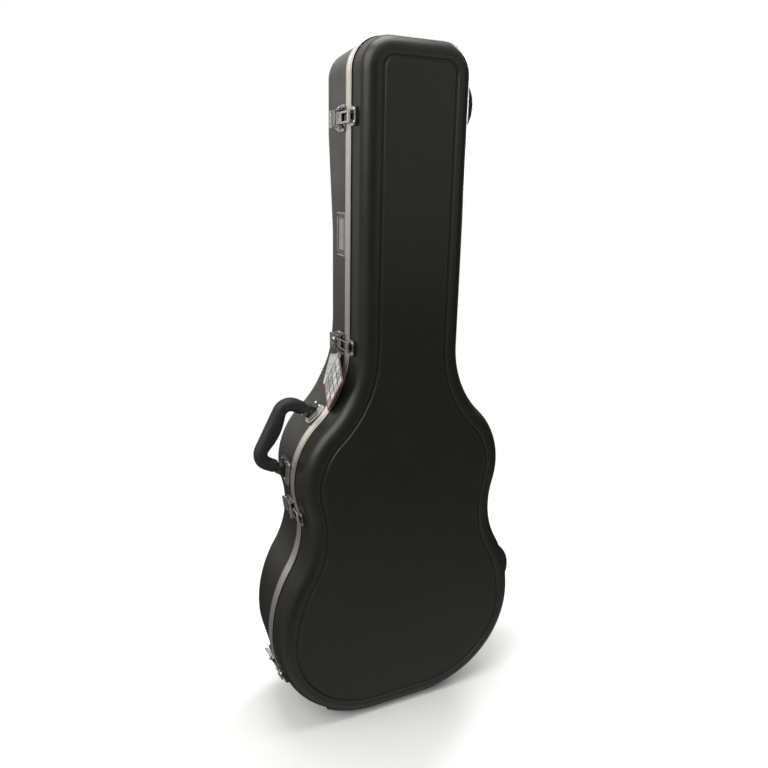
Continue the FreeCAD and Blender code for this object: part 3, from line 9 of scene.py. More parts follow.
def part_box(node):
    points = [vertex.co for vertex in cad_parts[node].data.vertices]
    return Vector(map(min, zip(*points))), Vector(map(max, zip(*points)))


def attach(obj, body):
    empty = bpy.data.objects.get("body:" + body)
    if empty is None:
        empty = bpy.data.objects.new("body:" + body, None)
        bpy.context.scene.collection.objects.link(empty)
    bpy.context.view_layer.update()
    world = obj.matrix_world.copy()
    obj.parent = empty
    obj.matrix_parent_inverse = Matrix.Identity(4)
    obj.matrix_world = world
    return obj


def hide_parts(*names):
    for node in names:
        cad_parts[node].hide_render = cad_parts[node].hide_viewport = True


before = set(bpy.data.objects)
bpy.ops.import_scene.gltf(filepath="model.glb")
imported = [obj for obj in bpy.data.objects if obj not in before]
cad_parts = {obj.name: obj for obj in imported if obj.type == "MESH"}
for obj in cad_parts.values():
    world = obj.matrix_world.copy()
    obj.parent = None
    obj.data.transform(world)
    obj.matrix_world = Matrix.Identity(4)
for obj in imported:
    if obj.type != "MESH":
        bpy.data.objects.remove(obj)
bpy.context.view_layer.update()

# A hard-shell guitar case on its base. Lengths are in millimetres until a mesh is made, in the case's own
# frame: +Z up, the lid towards -Y, the latches and the handle on the -X side, the hinges on the +X side.
# Depths are counted from the rim's parting plane, positive into the body and negative into the lid.

MM = 0.001
PARTING = -27.0

# ---- driving sizes

CASE_HEIGHT = 1140.0
LOWER_HALF = 231.9
LOWER_CORNER = 181.1
LOWER_BOUT = 245.9
WAIST_HALF = 177.3
WAIST_RADIUS = 151.3
UPPER_HALF = 187.8
UPPER_RADIUS = 140.5
NECK_HALF = 91.8
SHOULDER_RADIUS = 166.2
TOP_CORNER = 49.5

LID_DEPTH = 53.0
BODY_DEPTH = 121.0
NECK_DEPTH = 96.0
HEAD_DEPTH = 118.0
# the heights where the back bends, from the base to the headstock
BACK_BENDS = (612.0, 712.0, 862.0, 1008.0)
BACK_BLEND = 8.0
LID_DRAFT = 4.2
BODY_DRAFT = 3.0
EDGE_RADIUS = 20.0
WALL = 3.4
SHELL_INSET = 1.6
SHELL_START = 2.2

LAND_RIGHT = 80.0
LAND_LEFT = -140.0
LAND_START = 11.0
LAND_BODY = 98.0
LAND_LID = 40.0

GROOVE_INSET = 33.0
GROOVE_HALF = 3.2
GROOVE_DEPTH = 1.9

RIM_HEIGHT = 10.2
RIM_WIDTH = 6.6

CAVITY_INSET = 31.6
BODY_FLOOR = 103.4
CHANNEL_FLOOR = 82.4
HEAD_FLOOR = 94.4
LID_FLOOR = 32.4
FLOOR_CORNER = 8.0
CHANNEL_LOW = 628.0
CHANNEL_HIGH = 920.0
PLUSH = 1.3
CLOTH = 1.2


# ---- outline


def next_centre(centre, radius, other_x, other_radius):
    """Centre of the arc that runs on from an arc, at a known distance from the middle of the case."""
    rise = math.sqrt((radius + other_radius) ** 2 - (other_x - centre[0]) ** 2)
    return other_x, centre[1] + rise


BASE_CENTRE = (LOWER_HALF - LOWER_CORNER, LOWER_CORNER)
BOUT_CENTRE = (LOWER_HALF - LOWER_BOUT, LOWER_CORNER)
WAIST_CENTRE = next_centre(BOUT_CENTRE, LOWER_BOUT, WAIST_HALF + WAIST_RADIUS, WAIST_RADIUS)
UPPER_CENTRE = next_centre(WAIST_CENTRE, WAIST_RADIUS, UPPER_HALF - UPPER_RADIUS, UPPER_RADIUS)
SHOULDER_CENTRE = next_centre(UPPER_CENTRE, UPPER_RADIUS, NECK_HALF + SHOULDER_RADIUS, SHOULDER_RADIUS)
TOP_CENTRE = (NECK_HALF - TOP_CORNER, CASE_HEIGHT - TOP_CORNER)


def heading(start, end):
    return math.atan2(end[1] - start[1], end[0] - start[0])


class Outline:
    """The rim's outline, once round from the middle of the base over the hinge side: points, outward
    normals and the distance along it."""

    def __init__(self, step):
        self.step = step
        self.rows = []
        to_waist = heading(BOUT_CENTRE, WAIST_CENTRE)
        to_upper = heading(WAIST_CENTRE, UPPER_CENTRE)
        to_shoulder = heading(UPPER_CENTRE, SHOULDER_CENTRE)
        self.line((0.0, 0.0), (BASE_CENTRE[0], 0.0), (0.0, -1.0))
        self.arc(BASE_CENTRE, LOWER_CORNER, -math.pi / 2, 0.0, marks=(LAND_RIGHT, -LAND_LEFT))
        self.arc(BOUT_CENTRE, LOWER_BOUT, 0.0, to_waist)
        self.arc(WAIST_CENTRE, WAIST_RADIUS, to_waist + math.pi, to_upper, hollow=True)
        self.arc(UPPER_CENTRE, UPPER_RADIUS, to_upper - math.pi, to_shoulder)
        self.arc(SHOULDER_CENTRE, SHOULDER_RADIUS, to_shoulder + math.pi, math.pi, hollow=True)
        self.line((NECK_HALF, SHOULDER_CENTRE[1]), (NECK_HALF, TOP_CENTRE[1]), (1.0, 0.0))
        self.arc(TOP_CENTRE, TOP_CORNER, 0.0, math.pi / 2)
        self.line((TOP_CENTRE[0], CASE_HEIGHT), (0.0, CASE_HEIGHT), (0.0, 1.0))
        right = np.array(self.rows + [(0.0, CASE_HEIGHT, 0.0, 1.0)])
        left = right[-2:0:-1] * np.array((-1.0, 1.0, -1.0, 1.0))
        self.right = right
        whole = np.concatenate([right, left])
        self.x, self.z, self.nx, self.nz = whole.T
        gaps = np.hypot(np.roll(self.x, -1) - self.x, np.roll(self.z, -1) - self.z)
        self.distance = np.concatenate([[0.0], np.cumsum(gaps)])

    def line(self, start, end, normal):
        length = math.dist(start, end)
        count = max(2, round(length / self.step))
        for share in np.arange(count) / count:
            x = start[0] + share * (end[0] - start[0])
            z = start[1] + share * (end[1] - start[1])
            self.rows.append((x, z, *normal))

    def arc(self, centre, radius, first, last, hollow=False, marks=()):
        """An arc; around each mark, a distance from the middle of the case, the points lie closer."""
        count = max(4, round(abs(last - first) * radius / self.step))
        angles = np.linspace(first, last, count, endpoint=False)
        for mark in marks:
            middle = -math.acos((mark - centre[0]) / radius)
            near = middle + np.linspace(-3.0, 3.0, 5) / radius
            far = np.abs(angles - middle) * radius > 4.0
            angles = np.sort(np.concatenate([angles[far], near]))
        side = -1.0 if hollow else 1.0
        for angle in angles:
            nx, nz = math.cos(angle), math.sin(angle)
            self.rows.append((centre[0] + radius * nx, centre[1] + radius * nz, side * nx, side * nz))

    def ring(self, inset, depth):
        """The outline moved inwards by inset, at a depth from the parting plane."""
        x = self.x - self.nx * inset
        z = self.z - self.nz * inset
        y = np.broadcast_to(PARTING + depth, x.shape)
        return np.stack([x, y, z], 1)

    def frame_at(self, height):
        """Frame on the rim's face on the latch side: X along the rim, Y along the depth, Z outwards."""
        x, nx, nz = (np.interp(height, self.right[:, 1], self.right[:, i]) for i in (0, 2, 3))
        return local_frame((-x, PARTING, height), (-nx, 0.0, nz))


def local_frame(point, normal):
    normal = Vector(normal).normalized()
    along = Vector((normal.z, 0.0, -normal.x))
    turn = Matrix((along, Vector((0.0, 1.0, 0.0)), normal)).transposed().to_4x4()
    return Matrix.Translation(Vector(point)) @ turn


def bout_frame(angle):
    """Frame on the rim of the upper bout on the latch side, at an angle in degrees from +X."""
    normal = Vector((math.cos(math.radians(angle)), 0.0, math.sin(math.radians(angle))))
    centre = Vector((-UPPER_CENTRE[0], PARTING, UPPER_CENTRE[1]))
    return local_frame(centre + normal * UPPER_RADIUS, normal)


OUTLINE = Outline(5.0)
LATCH_HEIGHTS = (1028.0, 685.0, 403.0, 107.0)
LATCH_FRAMES = [OUTLINE.frame_at(height) for height in LATCH_HEIGHTS]
HINGE_HEIGHTS = (1050.0, 482.0, 220.0)
HINGE_OFFSET = 10.0
HINGE_SEAT = -8.4
HANDLE_ANGLE = 153.0
HANDLE_HALF_SPAN = 54.0
HANDLE_DEPTH = 35.0
HANDLE_FRAME = bout_frame(HANDLE_ANGLE)
HANDLE_SWING = math.degrees(math.asin(HANDLE_HALF_SPAN / UPPER_RADIUS))
BRACKET_LIFT = Matrix.Translation((0.0, 0.0, 1.0))
BRACKET_FRAMES = [bout_frame(HANDLE_ANGLE + side * HANDLE_SWING) @ BRACKET_LIFT for side in (-1, 1)]


def hinge_frame(height):
    """Frame on the hinge axis, which just clears both bouts."""
    dx, dz = UPPER_CENTRE[0] - BOUT_CENTRE[0], UPPER_CENTRE[1] - BOUT_CENTRE[1]
    lean = math.atan2(dz, dx) - math.acos((LOWER_BOUT - UPPER_RADIUS) / math.hypot(dx, dz))
    normal = Vector((math.cos(lean), 0.0, math.sin(lean)))
    reach = normal.dot(Vector((BOUT_CENTRE[0], 0.0, BOUT_CENTRE[1]))) + LOWER_BOUT + HINGE_OFFSET
    along = (height - reach * math.sin(lean)) / math.cos(lean)
    up = Vector((-math.sin(lean), 0.0, math.cos(lean)))
    point = normal * reach + up * along
    return local_frame((point.x, PARTING, point.z), normal)


HINGE_FRAMES = [hinge_frame(height) for height in HINGE_HEIGHTS]


# ---- materials


class Look:
    """A material, or a world, made of nodes. Sizes of its patterns are in millimetres."""

    def __init__(self, name, kind=bpy.data.materials):
        self.owner = kind.new(name)
        self.owner.use_nodes = True
        self.tree = self.owner.node_tree
        self.tree.nodes.clear()
        coordinates = self.node("TexCoord")
        self.place = coordinates.outputs["Object"]
        self.uv = coordinates.outputs["UV"]
        self.direction = coordinates.outputs["Generated"]

    def node(self, kind, inputs=None, **settings):
        made = self.tree.nodes.new("ShaderNode" + kind)
        for key, value in settings.items():
            setattr(made, key, value)
        for key, value in (inputs or {}).items():
            self.feed(made.inputs[key], value)
        return made

    def feed(self, socket, value):
        if isinstance(value, bpy.types.NodeSocket):
            self.tree.links.new(value, socket)
        elif socket.type == "RGBA" and len(value) == 3:
            socket.default_value = (*value, 1.0)
        else:
            socket.default_value = value

    def noise(self, size, detail, place=None):
        inputs = {"Vector": place or self.place, "Scale": 1.0 / (size * MM), "Detail": detail}
        return self.node("TexNoise", inputs).outputs["Fac"]

    def cells(self, size, feature="F1", place=None):
        inputs = {"Vector": place or self.place, "Scale": 1.0 / (size * MM)}
        return self.node("TexVoronoi", inputs, feature=feature).outputs["Distance"]

    def stretched(self, place, scale, turn=(0.0, 0.0, 0.0)):
        inputs = {"Vector": place, "Scale": scale, "Rotation": turn}
        return self.node("Mapping", inputs).outputs["Vector"]

    def wave(self, size, place, direction, warp=0.0):
        """Stripes, one every size millimetres."""
        inputs = {"Vector": place, "Scale": 1.0 / (size * MM) / 20.0 * math.pi, "Distortion": warp}
        made = self.node("TexWave", inputs, bands_direction=direction)
        return made.outputs["Fac"]

    def math(self, operation, first, second=0.0):
        made = self.node("Math", operation=operation)
        self.feed(made.inputs[0], first)
        self.feed(made.inputs[1], second)
        return made.outputs[0]

    def times(self, first, second):
        return self.math("MULTIPLY", first, second)

    def plus(self, first, second):
        return self.math("ADD", first, second)

    def gap(self, first, second):
        return self.math("ABSOLUTE", self.math("SUBTRACT", first, second))

    def grade(self, value, low, high, first=0.0, last=1.0):
        inputs = {"Value": value, "From Min": low, "From Max": high, "To Min": first, "To Max": last}
        return self.node("MapRange", inputs).outputs[0]

    def blend(self, share, first, last):
        made = self.node("MixRGB", {"Fac": share, "Color1": first, "Color2": last})
        return made.outputs["Color"]

    def bump(self, height, depth, strength=1.0, normal=None):
        """A relief of depth millimetres, on top of another relief when normal is given."""
        inputs = {"Height": height, "Distance": depth * MM, "Strength": strength}
        if normal is not None:
            inputs["Normal"] = normal
        return self.node("Bump", inputs).outputs["Normal"]

    def parts(self, place):
        return self.node("SeparateXYZ", {"Vector": place}).outputs

    def grit(self, size, depth, strength=0.6, relief=None):
        return self.bump(self.noise(size, 3.0), depth, strength, relief)

    def edges(self, low, high):
        """Where the surface is a convex edge."""
        return self.grade(self.node("NewGeometry").outputs["Pointiness"], low, high)

    def painted_corner_shade(self, colour):
        """Painted shade: the corners of plated steel darkened by their ambient occlusion."""
        corners = self.node("AmbientOcclusion", {"Distance": 3.5 * MM}, samples=8).outputs["AO"]
        return self.blend(self.grade(corners, 0.35, 0.95, 0.88, 0.0), colour, (0.035, 0.034, 0.030))

    def finish(self, colour, roughness, relief, **inputs):
        inputs = {key.replace("_", " "): value for key, value in inputs.items()}
        inputs |= {"Base Color": colour, "Roughness": roughness, "Normal": relief}
        shader = self.node("BsdfPrincipled", inputs).outputs[0]
        self.node("OutputMaterial", {"Surface": shader})
        return self.owner


def moulded_plastic():
    """Black ABS with a fine hair-cell grain, a slight waviness, faint scuffs and paler edges."""
    look = Look("moulded_shell")
    clouds = look.noise(170.0, 3.0)
    smudges = look.noise(34.0, 4.0)
    scuff_place = look.stretched(look.place, (1.0, 1.0, 0.16), (0.3, 0.5, 0.2))
    scuffs = look.grade(look.noise(3.0, 5.0, scuff_place), 0.66, 0.74)
    scuffs = look.times(scuffs, look.grade(look.noise(60.0, 2.0), 0.5, 0.7))
    edges = look.edges(0.512, 0.56)
    colour = look.blend(clouds, (0.0098, 0.0096, 0.0074), (0.0140, 0.0137, 0.0106))
    colour = look.blend(look.times(scuffs, 0.4), colour, (0.05, 0.048, 0.043))
    colour = look.blend(look.times(edges, 0.35), colour, (0.045, 0.043, 0.038))
    roughness = look.grade(smudges, 0.3, 0.7, 0.29, 0.37)
    roughness = look.plus(roughness, look.times(scuffs, 0.1))
    grain = look.plus(look.cells(1.5), look.times(look.noise(0.7, 3.0), 0.6))
    relief = look.bump(look.noise(110.0, 1.0), 0.5)
    relief = look.bump(grain, 0.035, 1.0, relief)
    return look.finish(colour, roughness, relief, IOR=1.5, Specular_IOR_Level=0.5)


def satin_aluminium():
    """Anodised extrusion, brushed along its length, with small marks."""
    look = Look("rim_aluminium")
    brushed = look.noise(1.0, 3.0, look.stretched(look.uv, (0.02, 3.0, 1.0)))
    marks = look.grade(look.noise(9.0, 5.0), 0.62, 0.75)
    tone = look.blend(brushed, (0.70, 0.66, 0.585), (0.84, 0.80, 0.715))
    tone = look.blend(look.times(marks, 0.35), tone, (0.45, 0.43, 0.38))
    roughness = look.grade(brushed, 0.25, 0.75, 0.30, 0.46)
    relief = look.bump(brushed, 0.02, 0.7)
    relief = look.bump(look.noise(25.0, 2.0), 0.05, 0.5, relief)
    return look.finish(tone, roughness, relief, Metallic=1.0)


def chrome_plate(name, tone, dull, pits):
    """Plated steel with fingerprints, fine pits, a slight unevenness from the polishing and painted
    shade in its corners."""
    look = Look(name)
    prints = look.noise(6.0, 5.0)
    colour = look.blend(prints, [0.82 * value for value in tone], tone)
    # painted shade: the corners are darkened by their ambient occlusion
    colour = look.painted_corner_shade(colour)
    roughness = look.grade(prints, 0.35, 0.7, dull, dull + 0.14)
    relief = look.bump(look.noise(4.5, 2.0), 0.05, 0.6)
    relief = look.grit(0.45, pits, 0.5, relief)
    return look.finish(colour, roughness, relief, Metallic=1.0)


def ribbed_cover():
    """The levers' covers: plated, dulled by handling, pressed with fine ribs across the pull."""
    look = Look("lever_cover")
    prints = look.noise(6.0, 5.0)
    phase = look.times(look.parts(look.place)["Y"], 2.0 * math.pi / (2.9 * MM))
    ribs = look.grade(look.math("SINE", phase), -1.0, 1.0)
    ribs = look.math("POWER", ribs, 0.6)
    colour = look.blend(prints, (0.50, 0.49, 0.475), (0.62, 0.61, 0.595))
    # painted shade: the troughs between the ribs are darkened in the colour
    colour = look.blend(look.grade(ribs, 0.0, 0.6, 0.75, 0.0), colour, (0.10, 0.098, 0.092))
    # painted shade: the cover's corners are darkened by their ambient occlusion
    colour = look.painted_corner_shade(colour)
    relief = look.grit(0.45, 0.012, 0.5, look.bump(ribs, 0.45, 1.0))
    roughness = look.grade(prints, 0.3, 0.7, 0.24, 0.36)
    return look.finish(colour, roughness, relief, Metallic=1.0)


def dark_enamel(name, paint, bright, split_depth=None):
    """Black enamel on steel, rubbed bright on its edges; ahead of split_depth the steel is left bare."""
    look = Look(name)
    clouds = look.noise(11.0, 4.0)
    rubbed = look.times(look.edges(0.53, 0.60), look.grade(clouds, 0.35, 0.6))
    if split_depth is not None:
        split = (PARTING + split_depth) * MM
        ahead = look.grade(look.parts(look.place)["Y"], split, split + 0.3 * MM, 1.0, 0.0)
        rubbed = look.math("MAXIMUM", rubbed, ahead)
    colour = look.blend(clouds, paint, [1.5 * value for value in paint])
    colour = look.blend(rubbed, colour, bright)
    relief = look.grit(0.5, 0.02)
    roughness = look.grade(clouds, 0.3, 0.7, 0.26, 0.40)
    return look.finish(colour, roughness, relief, Metallic=rubbed)


def plate_enamel():
    """The name plate's frame: grey enamel with a bare bead along its outer edge."""
    look = Look("plate_enamel")
    _, y, z = look.parts(look.place)
    beads = []
    for socket, middle, half in ((y, PARTING + 32.0, 20.0), (z, 858.0, 33.5)):
        away = look.gap(socket, middle * MM)
        beads.append(look.grade(away, (half - 2.6) * MM, (half - 2.1) * MM))
    bead = look.math("MAXIMUM", beads[0], beads[1])
    clouds = look.noise(7.0, 4.0)
    colour = look.blend(clouds, (0.045, 0.045, 0.041), (0.075, 0.075, 0.069))
    colour = look.blend(bead, colour, look.blend(clouds, (0.34, 0.335, 0.31), (0.52, 0.51, 0.48)))
    relief = look.grit(0.5, 0.02, 0.6, look.bump(bead, 0.5, 0.8))
    roughness = look.grade(clouds, 0.3, 0.7, 0.26, 0.40)
    metal = look.times(bead, 0.8)
    return look.finish(colour, roughness, relief, Metallic=metal)


def moulded_grip():
    """Soft black vinyl with a leather-like grain, worn a little smoother in patches."""
    look = Look("grip")
    worn = look.noise(28.0, 3.0)
    creases = look.cells(1.7, "DISTANCE_TO_EDGE")
    colour = look.blend(worn, (0.0105, 0.0105, 0.0112), (0.0165, 0.0165, 0.0175))
    colour = look.blend(look.grade(creases, 0.0, 0.08, 0.45, 0.0), colour, (0.005, 0.005, 0.0055))
    roughness = look.grade(worn, 0.3, 0.7, 0.52, 0.68)
    relief = look.bump(look.grade(creases, 0.0, 0.3), 0.12, 0.8)
    relief = look.grit(0.5, 0.03, 0.6, relief)
    return look.finish(colour, roughness, relief)


def plush():
    """Short-pile plush: brushed patches, fine fibres and a soft sheen."""
    look = Look("plush")
    brushed = look.noise(45.0, 3.0, look.stretched(look.place, (1.0, 1.0, 0.45), (0.2, 0.0, 0.4)))
    fibres = look.noise(0.55, 4.0)
    tufts = look.cells(1.3)
    colour = look.blend(brushed, (0.0125, 0.0125, 0.0135), (0.034, 0.034, 0.037))
    colour = look.blend(look.grade(fibres, 0.3, 0.7, 0.35, 0.0), colour, (0.005, 0.005, 0.0055))
    relief = look.bump(look.noise(18.0, 2.0), 0.9, 0.6)
    relief = look.bump(look.plus(fibres, look.times(tufts, 0.7)), 0.5, 0.9, relief)
    sheen = look.grade(brushed, 0.3, 0.7, 0.25, 0.7)
    tint = (0.62, 0.62, 0.68)
    soft = {"Sheen_Weight": sheen, "Sheen_Roughness": 0.4, "Sheen_Tint": tint, "Specular_IOR_Level": 0.15}
    return look.finish(colour, 0.95, relief, **soft)


def open_cell_foam():
    look = Look("foam")
    cells = look.cells(1.1)
    colour = look.blend(look.noise(30.0, 3.0), (0.055, 0.055, 0.058), (0.09, 0.09, 0.094))
    colour = look.blend(look.grade(cells, 0.2, 0.7, 0.0, 0.6), colour, (0.02, 0.02, 0.02))
    return look.finish(colour, 0.95, look.bump(cells, 0.6, 0.9))


def woven_ribbon():
    """Nylon webbing: a plain weave seen through crossing stripes."""
    look = Look("ribbon")
    across = look.wave(1.1, look.place, "X", 0.4)
    along = look.wave(1.1, look.place, "Z", 0.4)
    weave = look.math("MAXIMUM", across, along)
    colour = look.blend(weave, (0.008, 0.008, 0.009), (0.042, 0.042, 0.047))
    colour = look.blend(look.grade(look.noise(7.0, 3.0), 0.4, 0.8, 0.0, 0.4), colour, (0.02, 0.02, 0.022))
    relief = look.bump(weave, 0.18, 0.9)
    return look.finish(colour, 0.7, relief, Sheen_Weight=0.3, Sheen_Roughness=0.5)


def card_insert():
    """Blank grey card behind a thin clear cover."""
    look = Look("insert")
    fibres = look.noise(0.8, 4.0, look.stretched(look.place, (1.0, 1.0, 0.25)))
    clouds = look.noise(14.0, 3.0)
    colour = look.blend(fibres, (0.17, 0.17, 0.165), (0.235, 0.235, 0.225))
    colour = look.blend(look.grade(clouds, 0.4, 0.7, 0.0, 0.3), colour, (0.12, 0.12, 0.115))
    roughness = look.grade(clouds, 0.3, 0.7, 0.18, 0.32)
    return look.finish(colour, roughness, look.bump(fibres, 0.03, 0.5))


LATTICE_PITCH = 15.8
LATTICE_LINE = 3.4


def printed_card(name, paper, ink, bands=()):
    """Glossy card with a plain lattice of lines whose fields are paper or a pale tone of the ink, and
    plain coloured bands along its edges. Its UV map is in millimetres from the hole: U along the
    short edge and V down the long edge. A band is its colour, its axis, its start and its end."""
    look = Look(name)
    u, v, _ = look.parts(look.uv)
    along = {"U": u, "V": v}
    lines, fields = [], []
    for axis in along.values():
        cell = look.math("DIVIDE", look.plus(axis, 2.0), LATTICE_PITCH)
        lines.append(look.gap(look.math("FRACT", cell), 0.5))
        fields.append(look.math("FLOOR", cell))
    edge = 0.5 - LATTICE_LINE / LATTICE_PITCH / 2.0
    nearest = look.math("MAXIMUM", lines[0], lines[1])
    lattice = look.grade(nearest, edge - 0.012, edge + 0.012)
    place = look.node("CombineXYZ", {"X": fields[0], "Y": fields[1]}).outputs[0]
    chance = look.node("TexWhiteNoise", {"Vector": place}).outputs["Value"]
    tone = look.grade(chance, 0.15, 0.75, 0.95, 0.0)
    patches = look.grade(look.noise(4.5, 2.0), 0.44, 0.58, 0.0, 0.55)
    colour = look.blend(look.noise(9.0, 3.0), paper, [0.86 * value for value in paper])
    middle = look.grade(nearest, 0.27, 0.33, 1.0, 0.0)
    faded = [0.45 * p + 0.55 * i for p, i in zip(paper, ink)]
    colour = look.blend(look.times(tone, look.plus(middle, 0.25)), colour, faded)
    colour = look.blend(look.times(patches, tone), colour, ink)
    colour = look.blend(look.times(lattice, 0.92), colour, ink)
    for band, axis, start, end in bands:
        after = look.grade(along[axis], start - 0.15, start + 0.15)
        before = look.grade(along[axis], end - 0.15, end + 0.15, 1.0, 0.0)
        colour = look.blend(look.times(after, before), colour, band)
    fibres = look.noise(0.6, 4.0)
    relief = look.bump(fibres, 0.02, 0.5)
    roughness = look.grade(look.noise(12.0, 3.0), 0.3, 0.7, 0.28, 0.42)
    return look.finish(colour, roughness, relief)


def twisted_cord():
    look = Look("cord")
    strands = look.wave(0.9, look.stretched(look.place, (1.0, 1.0, 1.0), (0.0, 0.8, 0.4)), "Z")
    colour = look.blend(strands, (0.42, 0.41, 0.38), (0.78, 0.77, 0.73))
    colour = look.blend(look.noise(5.0, 3.0), colour, (0.55, 0.54, 0.50))
    return look.finish(colour, 0.8, look.bump(strands, 0.15, 0.9))


PLASTIC = moulded_plastic()
ALUMINIUM = satin_aluminium()
CHROME = chrome_plate("chrome", (0.70, 0.69, 0.67), 0.12, 0.010)
STEEL = chrome_plate("steel", (0.50, 0.49, 0.47), 0.26, 0.022)
LEVER = ribbed_cover()
HANDLE_ENAMEL = dark_enamel("handle_enamel", (0.012, 0.012, 0.012), (0.66, 0.65, 0.62), 26.5)
HINGE_ENAMEL = dark_enamel("hinge_enamel", (0.014, 0.014, 0.013), (0.40, 0.39, 0.37))
PLATE_ENAMEL = plate_enamel()
GRIP = moulded_grip()
VELVET = plush()
FOAM = open_cell_foam()
RIBBON = woven_ribbon()
INSERT = card_insert()
CORD = twisted_cord()


# ---- mesh tools


def new_object(name, data, material=None):
    made = bpy.data.objects.new(name, data)
    bpy.context.scene.collection.objects.link(made)
    if material is not None:
        data.materials.append(material)
    return made


def mesh_object(name, vertices, faces, material=None, uvs=None):
    """A mesh in metres from points in millimetres."""
    mesh = bpy.data.meshes.new(name)
    mesh.from_pydata((np.asarray(vertices, float) * MM).tolist(), [], faces)
    if uvs is not None:
        layer = mesh.uv_layers.new(name="place")
        layer.data.foreach_set("uv", np.asarray(uvs, float).ravel())
    shape = bmesh.new()
    shape.from_mesh(mesh)
    face_outwards(shape, mesh)
    return new_object(name, mesh, material)


def face_outwards(shape, mesh):
    """Writes a shape to its mesh, smooth and with its faces turned outwards."""
    bmesh.ops.recalc_face_normals(shape, faces=shape.faces)
    shape.to_mesh(mesh)
    shape.free()
    mesh.shade_smooth()


def strips(rows, count, caps=False, loop=False):
    """Quads between rows of count points, each row closed on itself; caps fill the two end rows, and
    loop joins the last row to the first."""
    faces = []
    for row in range(rows if loop else rows - 1):
        low, high = row * count, (row + 1) % rows * count
        for i in range(count):
            j = (i + 1) % count
            faces.append((low + i, low + j, high + j, high + i))
    if caps:
        faces += [range(count), range((rows - 1) * count, rows * count)]
    return faces


def skin(rings, loop=False):
    """Points, quads and their UVs over rings that all have the outline's number of points."""
    faces = strips(len(rings), len(rings[0]), loop=loop)
    steps = [np.linalg.norm(b - a, axis=1).mean() for a, b in zip(rings, rings[1:] + rings[:1])]
    across = np.concatenate([[0.0], np.cumsum(steps)]) * MM
    along = OUTLINE.distance * MM
    uvs = []
    for row in range(len(faces) // len(rings[0])):
        low, high = across[row], across[row + 1]
        for start, end in zip(along[:-1], along[1:]):
            uvs += [(start, low), (end, low), (end, high), (start, high)]
    return np.concatenate(rings), faces, uvs


def stand_in(obj, body, node):
    """Lets a piece ride on a body, in place of a CAD node, which it hides."""
    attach(obj, body)
    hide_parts(node)


def modifier(obj, name, kind, **settings):
    made = obj.modifiers.new(name, kind)
    for key, value in settings.items():
        setattr(made, key, value)
    return made


def bake(obj):
    """Applies the object's modifiers."""
    bpy.context.view_layer.update()
    graph = bpy.context.evaluated_depsgraph_get()
    mesh = bpy.data.meshes.new_from_object(obj.evaluated_get(graph))
    obj.modifiers.clear()
    obj.data = mesh


def combine(target, tools, operation):
    """Joins closed solids to the target, or cuts them out of it."""
    for tool in tools:
        modifier(target, operation, "BOOLEAN", operation=operation, object=tool, solver="MANIFOLD")
    bake(target)
    for tool in tools:
        bpy.data.objects.remove(tool)


def crisp(obj, angle=32.0):
    """Smooth faces, with sharp edges where the surface really turns."""
    obj.data.shade_smooth()
    obj.data.set_sharp_from_angle(angle=math.radians(angle))
    return obj


def block(name, low, high, rounding, place=None, material=None, segments=3):
    """A box with rounded edges between two corners, in the frame of place."""
    mesh = bpy.data.meshes.new(name)
    shape = bmesh.new()
    bmesh.ops.create_cube(shape, size=1.0)
    low, high = Vector(low), Vector(high)
    for vertex in shape.verts:
        vertex.co = Vector(low[i] + (vertex.co[i] + 0.5) * (high[i] - low[i]) for i in range(3))
    how = {"segments": segments, "profile": 0.5, "affect": "EDGES"}
    bmesh.ops.bevel(shape, geom=list(shape.edges), offset=rounding, **how)
    if place is not None:
        shape.transform(place)
    shape.transform(Matrix.Scale(MM, 4))
    shape.to_mesh(mesh)
    shape.free()
    mesh.shade_smooth()
    return new_object(name, mesh, material)


def turned(name, profile, centre, count):
    """A solid of revolution about the depth axis; profile holds radius and depth pairs, end to end."""
    points = []
    for radius, depth in profile[1:-1]:
        for angle in np.linspace(0.0, 2.0 * math.pi, count, endpoint=False):
            x = centre[0] + radius * math.cos(angle)
            z = centre[1] + radius * math.sin(angle)
            points.append((x, PARTING + depth, z))
    ends = [(centre[0], PARTING + depth, centre[1]) for _, depth in (profile[0], profile[-1])]
    rows = len(profile) - 2
    faces = strips(rows, count)
    first, last = rows * count, rows * count + 1
    for i in range(count):
        j = (i + 1) % count
        faces.append((first, i, j))
        faces.append((last, (rows - 1) * count + i, (rows - 1) * count + j))
    return mesh_object(name, points + ends, faces)


# ---- shells


def ramp(distance, blend):
    """Zero before a bend, rising with slope one after it, rounded over blend on both sides."""
    rounded = (distance + blend) ** 2 / (4.0 * blend)
    return np.where(distance < -blend, 0.0, np.where(distance > blend, distance, rounded))


def back_depth(z):
    """Depth of the body's back behind the parting plane at a height."""
    low, neck, head, top = BACK_BENDS
    in_slope = (NECK_DEPTH - BODY_DEPTH) / (neck - low)
    out_slope = (HEAD_DEPTH - NECK_DEPTH) / (top - head)
    z = np.asarray(z, float)
    depth = BODY_DEPTH + in_slope * (ramp(z - low, BACK_BLEND) - ramp(z - neck, BACK_BLEND))
    return depth + out_slope * (ramp(z - head, BACK_BLEND) - ramp(z - top, BACK_BLEND))


def lid_depth(z):
    return np.full(np.shape(z), LID_DEPTH)


def body_floor(z):
    """Depth of the plush floor: the guitar's room, the step up to the neck and the headstock's room."""
    z = np.asarray(z, float)
    up = (BODY_FLOOR - CHANNEL_FLOOR) * smooth((z - CHANNEL_LOW + 3.0) / 9.0)
    down = (HEAD_FLOOR - CHANNEL_FLOOR) * smooth((z - CHANNEL_HIGH) / 14.0)
    return BODY_FLOOR - up + down


def lid_floor(z):
    return np.full(np.shape(z), LID_FLOOR)


def smooth(share):
    share = np.clip(share, 0.0, 1.0)
    return share * share * (3.0 - 2.0 * share)


